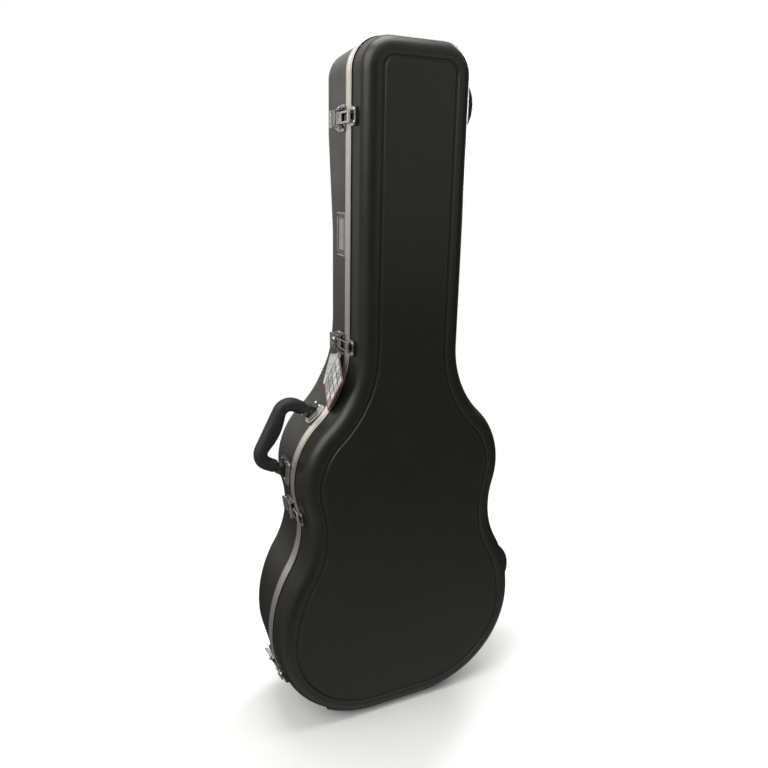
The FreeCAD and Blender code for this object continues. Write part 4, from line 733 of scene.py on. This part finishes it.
def tub(inset, start, floor, draft, rounding, shares, bends):
    """Insets and depths, ring by ring, of a tub's skin: down its wall, round the corner, to its floor."""
    lean = math.tan(math.radians(draft))

    def wall(depth):
        return inset + (depth - start) * lean

    def floor_below(own_inset):
        return floor(OUTLINE.z - OUTLINE.nz * own_inset)

    rows = []
    for share in shares:
        depth = start + share * (floor_below(inset) - rounding - start)
        rows.append((wall(depth), depth))
    corner = floor_below(inset + rounding) - rounding
    centre = wall(corner) + rounding / math.cos(math.radians(draft))
    for angle in np.linspace(math.radians(draft), math.pi / 2, bends + 1)[1:]:
        own = centre - rounding * math.cos(angle)
        rows.append((own, floor_below(own) - rounding * (1.0 - math.sin(angle))))
    return rows


def on_land(inset, depth, end):
    """Brings a shell's skin out to the rim's outline where the case stands on its base land."""
    edge = 1.5
    x = OUTLINE.x - OUTLINE.nx * inset
    inside = smooth((x - LAND_LEFT + edge) / (2 * edge)) * smooth((LAND_RIGHT - x + edge) / (2 * edge))
    low = np.where(OUTLINE.z < 60.0, 1.0, 0.0)
    from_rim = smooth((depth - LAND_START + 0.8) / 1.6)
    to_end = smooth((end - depth + 1.0) / 2.0)
    return inset * (1.0 - inside * low * from_rim * to_end)


def close_floor(shape, ring_start, count, side, floor, levels):
    """Closes the last ring with a floor that follows the depth function at the given heights."""
    shape.verts.ensure_lookup_table()
    border = [shape.verts[ring_start + i] for i in range(count)]
    old = set(shape.verts)
    face = shape.faces.new(border)
    face.normal_update()
    if not levels:
        return
    parts = bmesh.ops.triangulate(shape, faces=[face], ngon_method="EAR_CLIP")["faces"]
    for level in levels:
        region = [f for f in parts if f.is_valid]
        geometry = {item for f in region for item in (f, *f.edges, *f.verts)}
        place, up = (0.0, 0.0, level * MM), (0.0, 0.0, 1.0)
        cut = bmesh.ops.bisect_plane(shape, geom=list(geometry), dist=1e-6, plane_co=place, plane_no=up)
        found = {item for item in cut["geom"] if isinstance(item, bmesh.types.BMFace)}
        parts = list({f for f in region if f.is_valid} | found)
    for vertex in shape.verts:
        if vertex not in old:
            depth = float(floor(vertex.co.z / MM))
            vertex.co.y = (PARTING + side * depth) * MM


def closed_skin(name, rows, side, first_floor=None, last_floor=None, levels=(), material=None):
    """A closed solid from rows of insets and depths; its first and last rings are filled."""
    rings = [OUTLINE.ring(inset, side * np.asarray(depth)) for inset, depth in rows]
    points, faces, uvs = skin(rings)
    made = mesh_object(name, points, faces, material, uvs)
    shape = bmesh.new()
    shape.from_mesh(made.data)
    count = len(rings[0])
    for start, floor in ((0, first_floor), ((len(rings) - 1) * count, last_floor)):
        close_floor(shape, start, count, side, floor, levels if floor is not None else ())
    face_outwards(shape, made.data)
    return made


def flat_on(rows, extra, floor):
    """Carries a tub's rows on over its floor by the given distances from the last ring."""
    last = rows[-1][0]
    return rows + [(last + more, floor(OUTLINE.z - OUTLINE.nz * (last + more))) for more in extra]


BACK_LEVELS = [bend + shift for bend in BACK_BENDS for shift in (-8.0, -4.0, 0.0, 4.0, 8.0)]
BACK_LEVELS += [120.0, 240.0, 360.0, 480.0, 550.0, 662.0, 787.0, 935.0, 1060.0]


def side_foot(name, centre, radius):
    """A moulded foot on the hinge side: a thick disc with rounded edges, half sunk in the wall."""
    front, back, rounding = 30.0, 92.0, 9.0
    arc = np.linspace(0.0, math.pi / 2, 9)
    profile = [(0.0, front)]
    profile += [(radius - rounding * (1 - math.sin(a)), front + rounding * (1 - math.cos(a))) for a in arc]
    profile += [(radius - rounding * (1 - math.cos(a)), back - rounding * (1 - math.sin(a))) for a in arc]
    profile.append((0.0, back))
    return turned(name, profile, centre, 96)


def hardware_seats(side):
    """Flat seats moulded on a shell under the latches, the hinges and the handle brackets."""
    near = 11.0

    def seat(half, end, low, top, place):
        front, back = (near, end) if side > 0 else (-end, -near)
        return block("seat", (-half, front, low), (half, back, top - 0.05), 0.8, place)

    seats = []
    for place in LATCH_FRAMES:
        if side > 0:
            seats += [seat(18.2, 36.0, -14.0, 0.0, place), seat(10.2, 58.0, -14.0, 0.0, place)]
        else:
            seats.append(seat(12.6, 28.1, -14.0, 0.0, place))
    seats += [seat(16.6, 23.6, -26.0, HINGE_SEAT, place) for place in HINGE_FRAMES]
    if side > 0:
        seats += [seat(18.6, 55.6, -14.0, 0.0, place) for place in BRACKET_FRAMES]
    return seats


def hollow_out(shell, name, side, depth, draft, shares, extra, levels=()):
    """Cuts a shell's inside out of it, leaving a wall of even thickness that is open at the rim."""

    def inner_depth(z):
        return depth(z) - WALL

    rows = tub(SHELL_INSET + WALL, SHELL_START - 1.0, inner_depth, draft, EDGE_RADIUS - WALL, shares, 6)
    rows = flat_on(rows, (extra,), inner_depth)
    inner = closed_skin(name, rows, side, None, inner_depth if levels else None, levels)
    combine(shell, [inner], "DIFFERENCE")
    crisp(shell)


def make_body_shell():
    shares = (0.0, 0.075, 0.083, 0.092, 0.1, 0.2, 0.35, 0.5, 0.65, 0.8, 0.9, 0.95, 0.96, 0.97, 0.98, 1.0)
    rows = tub(SHELL_INSET, SHELL_START, back_depth, BODY_DRAFT, EDGE_RADIUS, shares, 12)
    rows = [(on_land(inset, depth, LAND_BODY), depth) for inset, depth in rows]
    rows = flat_on(rows, (7.0, 16.0), back_depth)
    shell = closed_skin("body_moulding", rows, 1, None, back_depth, BACK_LEVELS, PLASTIC)
    feet = [side_foot("upper_foot", (82.0, 1060.0), 59.5), side_foot("lower_foot", (223.4, 180.0), 60.6)]
    combine(shell, feet + hardware_seats(1), "UNION")
    hollow_out(shell, "body_inside", 1, back_depth, BODY_DRAFT, (0.0, 0.5, 1.0), 10.0, BACK_LEVELS)
    stand_in(shell, "case_body", "body_shell")


def make_lid_shell():
    shares = (0.0, 0.2, 0.26, 0.29, 0.32, 0.36, 0.6, 0.85, 1.0)
    rows = tub(SHELL_INSET, SHELL_START, lid_depth, LID_DRAFT, EDGE_RADIUS, shares, 20)
    rows = [(on_land(inset, depth, LAND_LID), depth) for inset, depth in rows]
    edge = float(np.mean(rows[-1][0]))
    rows += [(edge + 2.6, LID_DEPTH)]
    for share in np.linspace(-1.0, 1.0, 13):
        depth = LID_DEPTH - GROOVE_DEPTH * (1.0 - abs(share) ** 3.2)
        rows.append((GROOVE_INSET + share * GROOVE_HALF, depth))
    rows += [(GROOVE_INSET + GROOVE_HALF + 3.0, LID_DEPTH), (GROOVE_INSET + 10.0, LID_DEPTH)]
    shell = closed_skin("lid_moulding", rows, -1, material=PLASTIC)
    combine(shell, hardware_seats(-1), "UNION")
    hollow_out(shell, "lid_inside", -1, lid_depth, LID_DRAFT, (0.0, 1.0), 8.0)
    stand_in(shell, "lid", "lid_shell")


def corner(centre, radius, first, last):
    """Points on a small arc of a profile, angles in degrees."""
    angles = np.radians(np.linspace(first, last, 4))
    return [(centre[0] + radius * math.cos(a), centre[1] + radius * math.sin(a)) for a in angles]


def make_rim(name, node, body, side):
    """A bent aluminium extrusion: rounded outer leg with a bead line, web, channel for the shell's edge,
    and the tongue of the body's rim or the groove for it in the lid's rim."""
    low, high = 0.12, RIM_HEIGHT
    profile = corner((0.7, low + 0.7), 0.7, 270, 180)
    profile += [(0.0, 3.4), (0.28, 3.7), (0.28, 4.1), (0.0, 4.4)]
    profile += corner((0.8, high - 0.8), 0.8, 180, 90)
    profile += [(1.1, high), (1.45, high - 0.4), (1.5, low + 2.0), (5.8, low + 2.0), (5.8, high - 0.2)]
    profile += [(5.95, high), (6.4, high), (RIM_WIDTH, high - 0.3), (RIM_WIDTH, low + 0.4), (6.2, low)]
    if side > 0:
        profile += [(4.8, low), (4.75, -0.8), (4.6, -1.0), (3.6, -1.0), (3.45, -0.8), (3.4, low)]
    else:
        profile += [(5.5, low), (5.5, 1.35), (2.75, 1.35), (2.7, low)]
    rings = [OUTLINE.ring(inset, side * depth) for inset, depth in profile]
    points, faces, uvs = skin(rings, loop=True)
    rim = crisp(mesh_object(name, points, faces, ALUMINIUM, uvs), 40.0)
    stand_in(rim, body, node)


# ---- padding


def lining_rows(floor, outer):
    """Rows of the plush: the border over the foam, the rolled edge, the wall and the floor.
    outer moves them to the hidden side of the cloth."""
    start = PLUSH + outer
    roll = 4.0
    rows = [(7.0, start), (16.0, start), (CAVITY_INSET - roll - 1.0, start)]
    for angle in np.radians((20.0, 45.0, 70.0)):
        inset = CAVITY_INSET - roll + (roll - outer) * math.sin(angle)
        rows.append((inset, start + (roll - outer) * (1.0 - math.cos(angle))))

    def own_floor(z):
        return floor(z) + outer

    shares = (0.0, 0.2, 0.4, 0.6, 0.8, 1.0)
    tub_rows = tub(CAVITY_INSET - outer, start + roll - outer, own_floor, 0.0, FLOOR_CORNER, shares, 6)
    return flat_on(rows + tub_rows, (4.0,), own_floor)


FLOOR_LEVELS = [CHANNEL_LOW + shift for shift in (-3.0, -1.0, 1.5, 4.0, 6.0)]
FLOOR_LEVELS += [CHANNEL_HIGH + shift for shift in (0.0, 3.5, 7.0, 10.5, 14.0)]
FLOOR_LEVELS += [60.0 * step for step in range(1, 19)]


def make_lining(name, node, body, side, floor):
    rows = lining_rows(floor, CLOTH)[::-1] + lining_rows(floor, 0.0)
    cloth = closed_skin(name, rows, side, lambda z: floor(z) + CLOTH, floor, FLOOR_LEVELS, VELVET)
    stand_in(cloth, body, node)


def make_foam(name, node, body, side, floor, depth, draft):
    """The foam between the lining and the shell."""
    gap = 0.5
    hollow = [(CAVITY_INSET - 1.9, 3.2)]
    hollow += tub(CAVITY_INSET - 1.9, 4.0, lambda z: floor(z) + 1.6, 0.0, 6.0, (0.0, 0.5, 1.0), 4)

    def outside_depth(z):
        return depth(z) - WALL - gap

    outside = tub(7.0, 3.2, outside_depth, draft, EDGE_RADIUS - WALL, (0.0, 0.5, 1.0), 6)
    outside = flat_on(outside, (7.0,), outside_depth)
    levels = BACK_LEVELS + FLOOR_LEVELS
    rows = outside[::-1] + hollow
    foam = closed_skin(name, rows, side, outside_depth, lambda z: floor(z) + 1.6, levels, FOAM)
    stand_in(foam, body, node)


def swell(obj, voxel, pressure, cap):
    """Fills a pad: an even mesh, a short cloth simulation under pressure, its movement capped in
    millimetres, then one subdivision."""
    modifier(obj, "even", "REMESH", mode="VOXEL", voxel_size=voxel * MM)
    bake(obj)
    rest = np.array([vertex.co for vertex in obj.data.vertices])
    frames = 20
    cloth = modifier(obj, "pad", "CLOTH")
    settings = cloth.settings
    settings.quality = 5
    settings.mass = 0.3
    settings.use_pressure = True
    settings.uniform_pressure_force = pressure
    settings.effector_weights.gravity = 0.0
    cloth.point_cache.frame_start = 1
    cloth.point_cache.frame_end = frames
    for number in range(1, frames + 1):
        bpy.context.scene.frame_set(number)
    bpy.context.view_layer.update()
    graph = bpy.context.evaluated_depsgraph_get()
    filled = np.array([vertex.co for vertex in obj.evaluated_get(graph).data.vertices])
    obj.modifiers.clear()
    bpy.context.scene.frame_set(1)
    move = filled - rest
    length = np.linalg.norm(move, axis=1, keepdims=True)
    move *= np.minimum(1.0, cap * MM / np.maximum(length, 1e-9))
    obj.data.vertices.foreach_set("co", (rest + move).astype(np.float32).ravel())
    modifier(obj, "relax", "SMOOTH", factor=0.5, iterations=3)
    modifier(obj, "finer", "SUBSURF", levels=1, render_levels=1)
    bake(obj)
    obj.data.shade_smooth()


def box_of(node, shrink=0.0):
    """A CAD node's corners in millimetres, moved inwards."""
    low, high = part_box(node)
    margin = Vector((shrink, shrink, shrink))
    return low / MM + margin, high / MM - margin


def make_accessory_box():
    """The accessory box under the neck: plush-covered partitions, a padded door with a ribbon pull."""
    low, high = box_of("compartment_walls")
    thickness = 4.0
    for name, start in (("box_wall_low", low.z), ("box_wall_high", high.z - thickness)):
        wall = block(name, (low.x, low.y, start), (high.x, high.y, start + thickness), 1.5, None, VELVET, 4)
        stand_in(wall, "case_body", "compartment_walls")

    low, high = box_of("compartment_door", 0.5)
    door = block("door_pad", low, high, 1.9, None, VELVET, 4)
    swell(door, 2.4, 3.0, 1.4)
    stand_in(door, "accessory_door", "compartment_door")
    make_pull_tab()
    make_hinge_tape()


def headings(path):
    """Unit directions along a path of points."""
    forward = np.gradient(path, axis=0)
    return forward / np.linalg.norm(forward, axis=1, keepdims=True)


def ribbon_strip(name, node, heights, rise, thickness):
    """A ribbon on the accessory box's door, rising from the middle of its node's box at the given
    heights, with soft selvedges."""
    low, high = box_of(node)
    half_width = (high.x - low.x) / 2
    path = np.stack([(low.y + high.y) / 2 - rise, heights], 1)
    forward = headings(path)
    normal = np.stack([forward[:, 1], -forward[:, 0]], 1)
    section = []
    for side in (1.0, -1.0):
        for x in np.linspace(-side, side, 13):
            section.append((x * half_width, side * thickness / 2 * (1.0 - 0.5 * abs(x) ** 8)))
    points = []
    for (y, z), (ny, nz) in zip(path, normal):
        points += [(x, y + ny * lift, z + nz * lift) for x, lift in section]
    faces = strips(len(path), len(section), caps=True)
    strip = crisp(mesh_object(name, points, faces, RIBBON), 50.0)
    stand_in(strip, "accessory_door", node)


def make_pull_tab():
    low, high = box_of("door_pull_tab")
    heights = np.linspace(high.z - 1.0, low.z + 1.0, 30)
    free = smooth((low.z + 14.0 - heights) / 14.0)
    ribbon_strip("pull_ribbon", "door_pull_tab", heights, 0.1 + 2.6 * free * (1.0 - 0.5 * free), 1.1)


def make_hinge_tape():
    low, high = box_of("door_hinge_tape")
    heights = np.linspace(low.z + 0.3, high.z - 0.3, 16)
    bulge = 0.35 * np.sin((heights - low.z) / (high.z - low.z) * math.pi)
    ribbon_strip("hinge_ribbon", "door_hinge_tape", heights, bulge, 0.9)


def make_cradle():
    """The padded cradle that carries the guitar's neck."""
    low, high = box_of("neck_cradle", 1.2)
    pad = block("cradle_pad", low, high, 5.0, None, VELVET, 4)
    notch_radius, notch_lift = 28.0, 2.0
    notch = [(0.0, -100.0), (notch_radius, -100.0), (notch_radius, 100.0), (0.0, 100.0)]
    tool = turned("notch", notch, (0.0, 0.0), 64)
    axis = Vector((0.0, low.y - 1.2 + notch_lift, (low.z + high.z) / 2)) * MM
    upright = Matrix.Rotation(math.pi / 2, 4, "X")
    tool.data.transform(Matrix.Translation(axis) @ upright @ Matrix.Translation((0.0, -PARTING * MM, 0.0)))
    combine(pad, [tool], "DIFFERENCE")
    swell(pad, 3.0, 3.5, 2.2)
    stand_in(pad, "case_body", "neck_cradle")


# ---- hardware


def soften(node, material, width):
    """Gives a carried-over metal piece its finish and small rounded edges."""
    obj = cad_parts[node]
    if not obj.material_slots:
        obj.data.materials.append(material)
    for place in obj.material_slots:
        place.material = material
    if width <= 0.0:
        return
    modifier(obj, "weld", "WELD", merge_threshold=0.002 * MM)
    limit = {"limit_method": "ANGLE", "angle_limit": math.radians(30.0)}
    modifier(obj, "edge", "BEVEL", width=width * MM, segments=2, use_clamp_overlap=True, **limit)
    modifier(obj, "weigh", "WEIGHTED_NORMAL", keep_sharp=True, weight=100)


def finish_hardware():
    """The carried-over metal: each node with its finish and the width of its rounded edges."""
    for number in range(1, 5):
        soften("latch_%d_lever" % number, LEVER, 0.25)
        soften("latch_%d_bail" % number, CHROME, 0.25)
        soften("latch_%d_bail_pin" % number, STEEL, 0.0)
    finishes = (
        (CHROME, 0.22, "latch_bases latch_strikes"),
        (STEEL, 0.2, "latch_lever_pins"),
        (HINGE_ENAMEL, 0.2, "handle_pins"),
        (CHROME, 0.0, "latch_rivets strike_rivets handle_rivets"),
        (HINGE_ENAMEL, 0.25, "hinge_pins hinge_body_leaves hinge_lid_leaves"),
        (HINGE_ENAMEL, 0.0, "hinge_body_rivets hinge_lid_rivets nameplate_rivets"),
        (HANDLE_ENAMEL, 0.25, "handle_brackets"),
        (CHROME, 0.25, "lock_housing"),
        (STEEL, 0.15, "lock_plug"),
        (HINGE_ENAMEL, 0.4, "handle_core"),
        (PLATE_ENAMEL, 0.25, "nameplate_frame"),
        (INSERT, 0.0, "nameplate_insert"),
        (CORD, 0.0, "tag_cord"),
    )
    for material, width, nodes in finishes:
        for node in nodes.split():
            soften(node, material, width)


# ---- handle


def handle_path(start):
    """Points and directions along the handle, in its own frame: up one leg, over the grip and down."""
    half, high, bend, step = HANDLE_HALF_SPAN, 44.0, 19.0, 2.0
    path = [(-half, z) for z in np.arange(start, high - bend, step)]
    for angle in np.linspace(math.pi, math.pi / 2, 16)[:-1]:
        path.append((-half + bend + bend * math.cos(angle), high - bend + bend * math.sin(angle)))
    path += [(x, high) for x in np.arange(-half + bend, 0.0, step)]
    path += [(0.0, high)] + [(-x, z) for x, z in path[::-1]]
    path = np.array(path)
    return path, headings(path)


def make_grip():
    """The soft grip: an oval section that swells towards the palm, a moulding seam and rounded ends."""
    path, forward = handle_path(8.2)
    distance = np.concatenate([[0.0], np.cumsum(np.linalg.norm(np.diff(path, axis=0), axis=1))])
    total = distance[-1]
    half_across, half_deep, palm, leg, end_length = 11.4, 11.8, 5.6, 30.0, 5.0
    rows = []
    count = 48
    for (x, z), (fx, fz), along in zip(path, forward, distance):
        outward = np.array((-fz, fx))
        share = min(along, total - along)
        middle = max(0.0, 1.0 - ((along / total - 0.5) / 0.21) ** 2)
        legs = 1.0 - smooth(share / leg)
        end = math.sqrt(max(0.0, 1.0 - max(0.0, 1.0 - share / end_length) ** 2))
        squeeze = 0.72 + 0.28 * end
        ring = []
        for angle in np.linspace(0.0, 2.0 * math.pi, count, endpoint=False):
            c, s = math.cos(angle), math.sin(angle)
            across = (half_across - 0.5 * legs) * abs(c) ** 0.9 * math.copysign(1.0, c)
            deep = (half_deep - 1.9 * legs) * abs(s) ** 0.9 * math.copysign(1.0, s)
            if c < 0:
                across -= palm * middle**1.3 * abs(c)
            seam = 0.35 * math.exp(-(abs(s) / 0.05) ** 2)
            across += math.copysign(seam, c)
            offset = outward * across * squeeze
            ring.append((x + offset[0], HANDLE_DEPTH + deep * squeeze, z + offset[1]))
        rows.append(ring)
    points = [tuple(HANDLE_FRAME @ Vector(p)) for ring in rows for p in ring]
    faces = strips(len(rows), count, caps=True)
    grip = crisp(mesh_object("grip_moulding", points, faces, GRIP), 60.0)
    stand_in(grip, "handle", "handle_grip")


# ---- hang tag

TAG_HOLE = Vector((-101.4, 14.0 + PARTING, 663.5))
TAG_SHORT = Vector((-17.4, -61.9, -29.8)).normalized()
TAG_LONG = Vector((-14.5, 31.1, -56.3)).normalized()


def make_card(name, node, width, length, offset, turn, curl, material):
    """A printed card with rounded corners and a slight curl, hanging from its corner hole."""
    normal = TAG_SHORT.cross(TAG_LONG).normalized()
    down = normal.cross(TAG_SHORT)
    margin, rounding, half_thick = 4.4, 3.0, 0.3
    columns, rows = 29, 27
    c, s = math.cos(math.radians(turn)), math.sin(math.radians(turn))
    points, uvs, faces = [], [], []
    for layer in (-1.0, 1.0):
        for row in range(rows):
            for column in range(columns):
                u = -margin + width * column / (columns - 1)
                v = -margin + length * row / (rows - 1)
                u, v = rounded_corner(u, v, -margin, width - margin, length - margin, rounding)
                lift = curl * ((u / width) ** 2 * 0.6 + (v / length) ** 2) - curl * 0.25
                x, z = u * c - v * s, -u * s - v * c
                lift = lift + offset + layer * half_thick
                points.append(TAG_HOLE + TAG_SHORT * x - down * z + normal * lift)
                uvs.append((u, v))
    size = rows * columns
    for base in (0, size):
        for row in range(rows - 1):
            for column in range(columns - 1):
                a = base + row * columns + column
                quad = (a, a + 1, a + columns + 1, a + columns)
                faces.append(quad[::-1] if base else quad)
    grid = np.arange(size).reshape(rows, columns)
    edge = [*grid[0], *grid[1:, -1], *grid[-1, -2::-1], *grid[-2:0:-1, 0]]
    for a, b in zip(edge, edge[1:] + edge[:1]):
        faces.append((b, a, a + size, b + size))
    faces = [[int(index) for index in face] for face in faces]
    corner_uvs = [uvs[index] for face in faces for index in face]
    card = crisp(mesh_object(name, points, faces, material, corner_uvs), 50.0)
    stand_in(card, "case_body", node)


def rounded_corner(u, v, low, high_u, high_v, radius):
    """Pulls a point in a card's corner onto the rounded outline."""
    centre_u = min(max(u, low + radius), high_u - radius)
    centre_v = min(max(v, low + radius), high_v - radius)
    du, dv = u - centre_u, v - centre_v
    reach = max(abs(du), abs(dv))
    if du and dv:
        scale = reach / math.hypot(du, dv)
        return centre_u + du * scale, centre_v + dv * scale
    return u, v


def make_tag():
    maroon, rose, white = (0.10, 0.012, 0.014), (0.34, 0.10, 0.115), (0.58, 0.57, 0.55)
    bands = (
        (maroon, "U", 59.3, 66.0),
        (white, "U", 58.3, 59.3),
        (rose, "V", 60.6, 64.0),
        (rose, "V", -6.0, -3.4),
    )
    front = printed_card("paper", (0.66, 0.66, 0.64), (0.030, 0.032, 0.028), bands)
    pale = (0.62, 0.62, 0.58)
    edges = ((pale, "V", -6.0, 1.0), (pale, "U", 41.5, 49.0))
    back = printed_card("paper_back", (0.60, 0.60, 0.57), (0.33, 0.34, 0.31), edges)
    make_card("tag_front", "hang_tag", 70.0, 68.0, 0.35, 0.0, 1.6, front)
    make_card("tag_back", "hang_tag_back", 52.5, 61.2, 1.85, 52.0, 1.2, back)


# ---- studio


def area_light(name, location, target, size, power, height=None):
    lamp = bpy.data.lights.new(name, "AREA")
    lamp.energy = power
    lamp.size = size
    if height is not None:
        lamp.shape = "RECTANGLE"
        lamp.size_y = height
    obj = new_object(name, lamp)
    obj.location = location
    obj.rotation_mode = "QUATERNION"
    obj.rotation_quaternion = (Vector(target) - Vector(location)).to_track_quat("-Z", "Y")
    obj.visible_camera = False


def make_floor():
    """A pale matt floor that fades into the white surroundings a few steps from the case."""
    look = Look("floor")
    colour = look.blend(look.noise(400.0, 3.0), (0.86, 0.86, 0.855), (0.90, 0.90, 0.895))
    inputs = {"Base Color": colour, "Roughness": 0.9, "Normal": look.bump(look.noise(3.0, 2.0), 0.03)}
    matt = look.node("BsdfPrincipled", inputs).outputs[0]
    away = look.node("VectorMath", {0: look.place}, operation="LENGTH").outputs["Value"]
    seen = look.node("LightPath").outputs["Is Camera Ray"]
    share = look.times(look.math("POWER", look.grade(away, 0.35, 1.15), 0.7), seen)
    white = look.node("Emission", {"Color": (1.0, 1.0, 1.0), "Strength": 1.0}).outputs[0]
    mixed = look.node("MixShader", {0: share, 1: matt, 2: white}).outputs[0]
    look.node("OutputMaterial", {"Surface": mixed})
    half = 40000.0
    corners = [(-half, -half, 0.0), (half, -half, 0.0), (half, half, 0.0), (-half, half, 0.0)]
    floor = mesh_object("floor", corners, [(0, 1, 2, 3)], look.owner)
    floor.visible_glossy = False


def make_world():
    """Soft studio surroundings: white to the camera; in reflections bright behind, to the left and
    overhead, and dim in front."""
    look = Look("studio", bpy.data.worlds)
    bpy.context.scene.world = look.owner
    x, y, z = look.parts(look.direction)

    def glow(socket, low, high, amount):
        """A soft patch of light that grows as a direction's part goes from low to high."""
        inputs = {"Value": socket, "From Min": low, "From Max": high, "To Max": amount}
        return look.node("MapRange", inputs, interpolation_type="SMOOTHSTEP").outputs[0]

    left = look.plus(glow(z, -0.75, 0.15, 0.65), 0.35)
    left = look.times(glow(x, -0.35, -0.95, 0.30), left)
    low = look.times(glow(z, -0.40, -0.66, 0.36), glow(y, 0.35, -0.25, 1.0))
    back = look.plus(glow(z, -0.42, 0.10, 0.95), 0.05)
    back = look.times(glow(y, 0.62, 0.97, 0.62), back)
    light = look.plus(left, 0.035)
    for part in (glow(z, 0.02, 0.75, 0.55), low, back):
        light = look.plus(light, part)
    near = look.node("Background", {"Color": (1.0, 0.985, 0.955), "Strength": light}).outputs[0]
    white = look.node("Background", {"Color": (1.0, 1.0, 1.0)}).outputs[0]
    seen = look.node("LightPath").outputs["Is Camera Ray"]
    mixed = look.node("MixShader", {0: seen, 1: near, 2: white}).outputs[0]
    look.node("OutputWorld", {"Surface": mixed})


CAMERA_PLACE = (-0.4805, -1.0095, 0.932)
CAMERA_LENS = 31.547
CAMERA_YAW = 24.89
CAMERA_PITCH = -16.38
CAMERA_ROLL = 1.24


def make_camera():
    camera = bpy.data.cameras.new("camera")
    camera.lens = CAMERA_LENS
    camera.sensor_width = 36.0
    obj = new_object("camera", camera)
    yaw, pitch, roll = (math.radians(a) for a in (CAMERA_YAW, CAMERA_PITCH, CAMERA_ROLL))
    forward = Vector((math.sin(yaw) * math.cos(pitch), math.cos(yaw) * math.cos(pitch), math.sin(pitch)))
    right = Vector((math.cos(yaw), -math.sin(yaw), 0.0))
    up = right.cross(forward)
    level_right = right * math.cos(roll) + up * math.sin(roll)
    level_up = up * math.cos(roll) - right * math.sin(roll)
    turn = Matrix((level_right, level_up, -forward)).transposed().to_4x4()
    obj.matrix_world = Matrix.Translation(CAMERA_PLACE) @ turn
    bpy.context.scene.camera = obj


def make_studio():
    make_floor()
    make_world()
    area_light("key", (-2.1, -0.5, 2.3), (0.0, 0.0, 0.7), 2.3, 44.0)
    area_light("fill", (1.4, -2.6, 1.2), (0.0, 0.0, 0.5), 1.5, 3.0)
    area_light("edge", (1.7, 1.1, 1.6), (0.1, 0.0, 0.7), 0.5, 30.0, 1.6)
    area_light("top", (0.0, 0.1, 2.9), (0.0, 0.0, 0.0), 1.6, 40.0)
    make_camera()
    bpy.context.scene.view_settings.view_transform = "Standard"


make_body_shell()
make_lid_shell()
make_rim("rim_body", "body_rim", "case_body", 1)
make_rim("rim_lid", "lid_rim", "lid", -1)
make_lining("lining_body", "body_lining", "case_body", 1, body_floor)
make_lining("lining_lid", "lid_lining", "lid", -1, lid_floor)
make_foam("foam_body", "body_foam", "case_body", 1, body_floor, back_depth, BODY_DRAFT)
make_foam("foam_lid", "lid_foam", "lid", -1, lid_floor, lid_depth, LID_DRAFT)
make_accessory_box()
make_cradle()
finish_hardware()
make_grip()
make_tag()
make_studio()
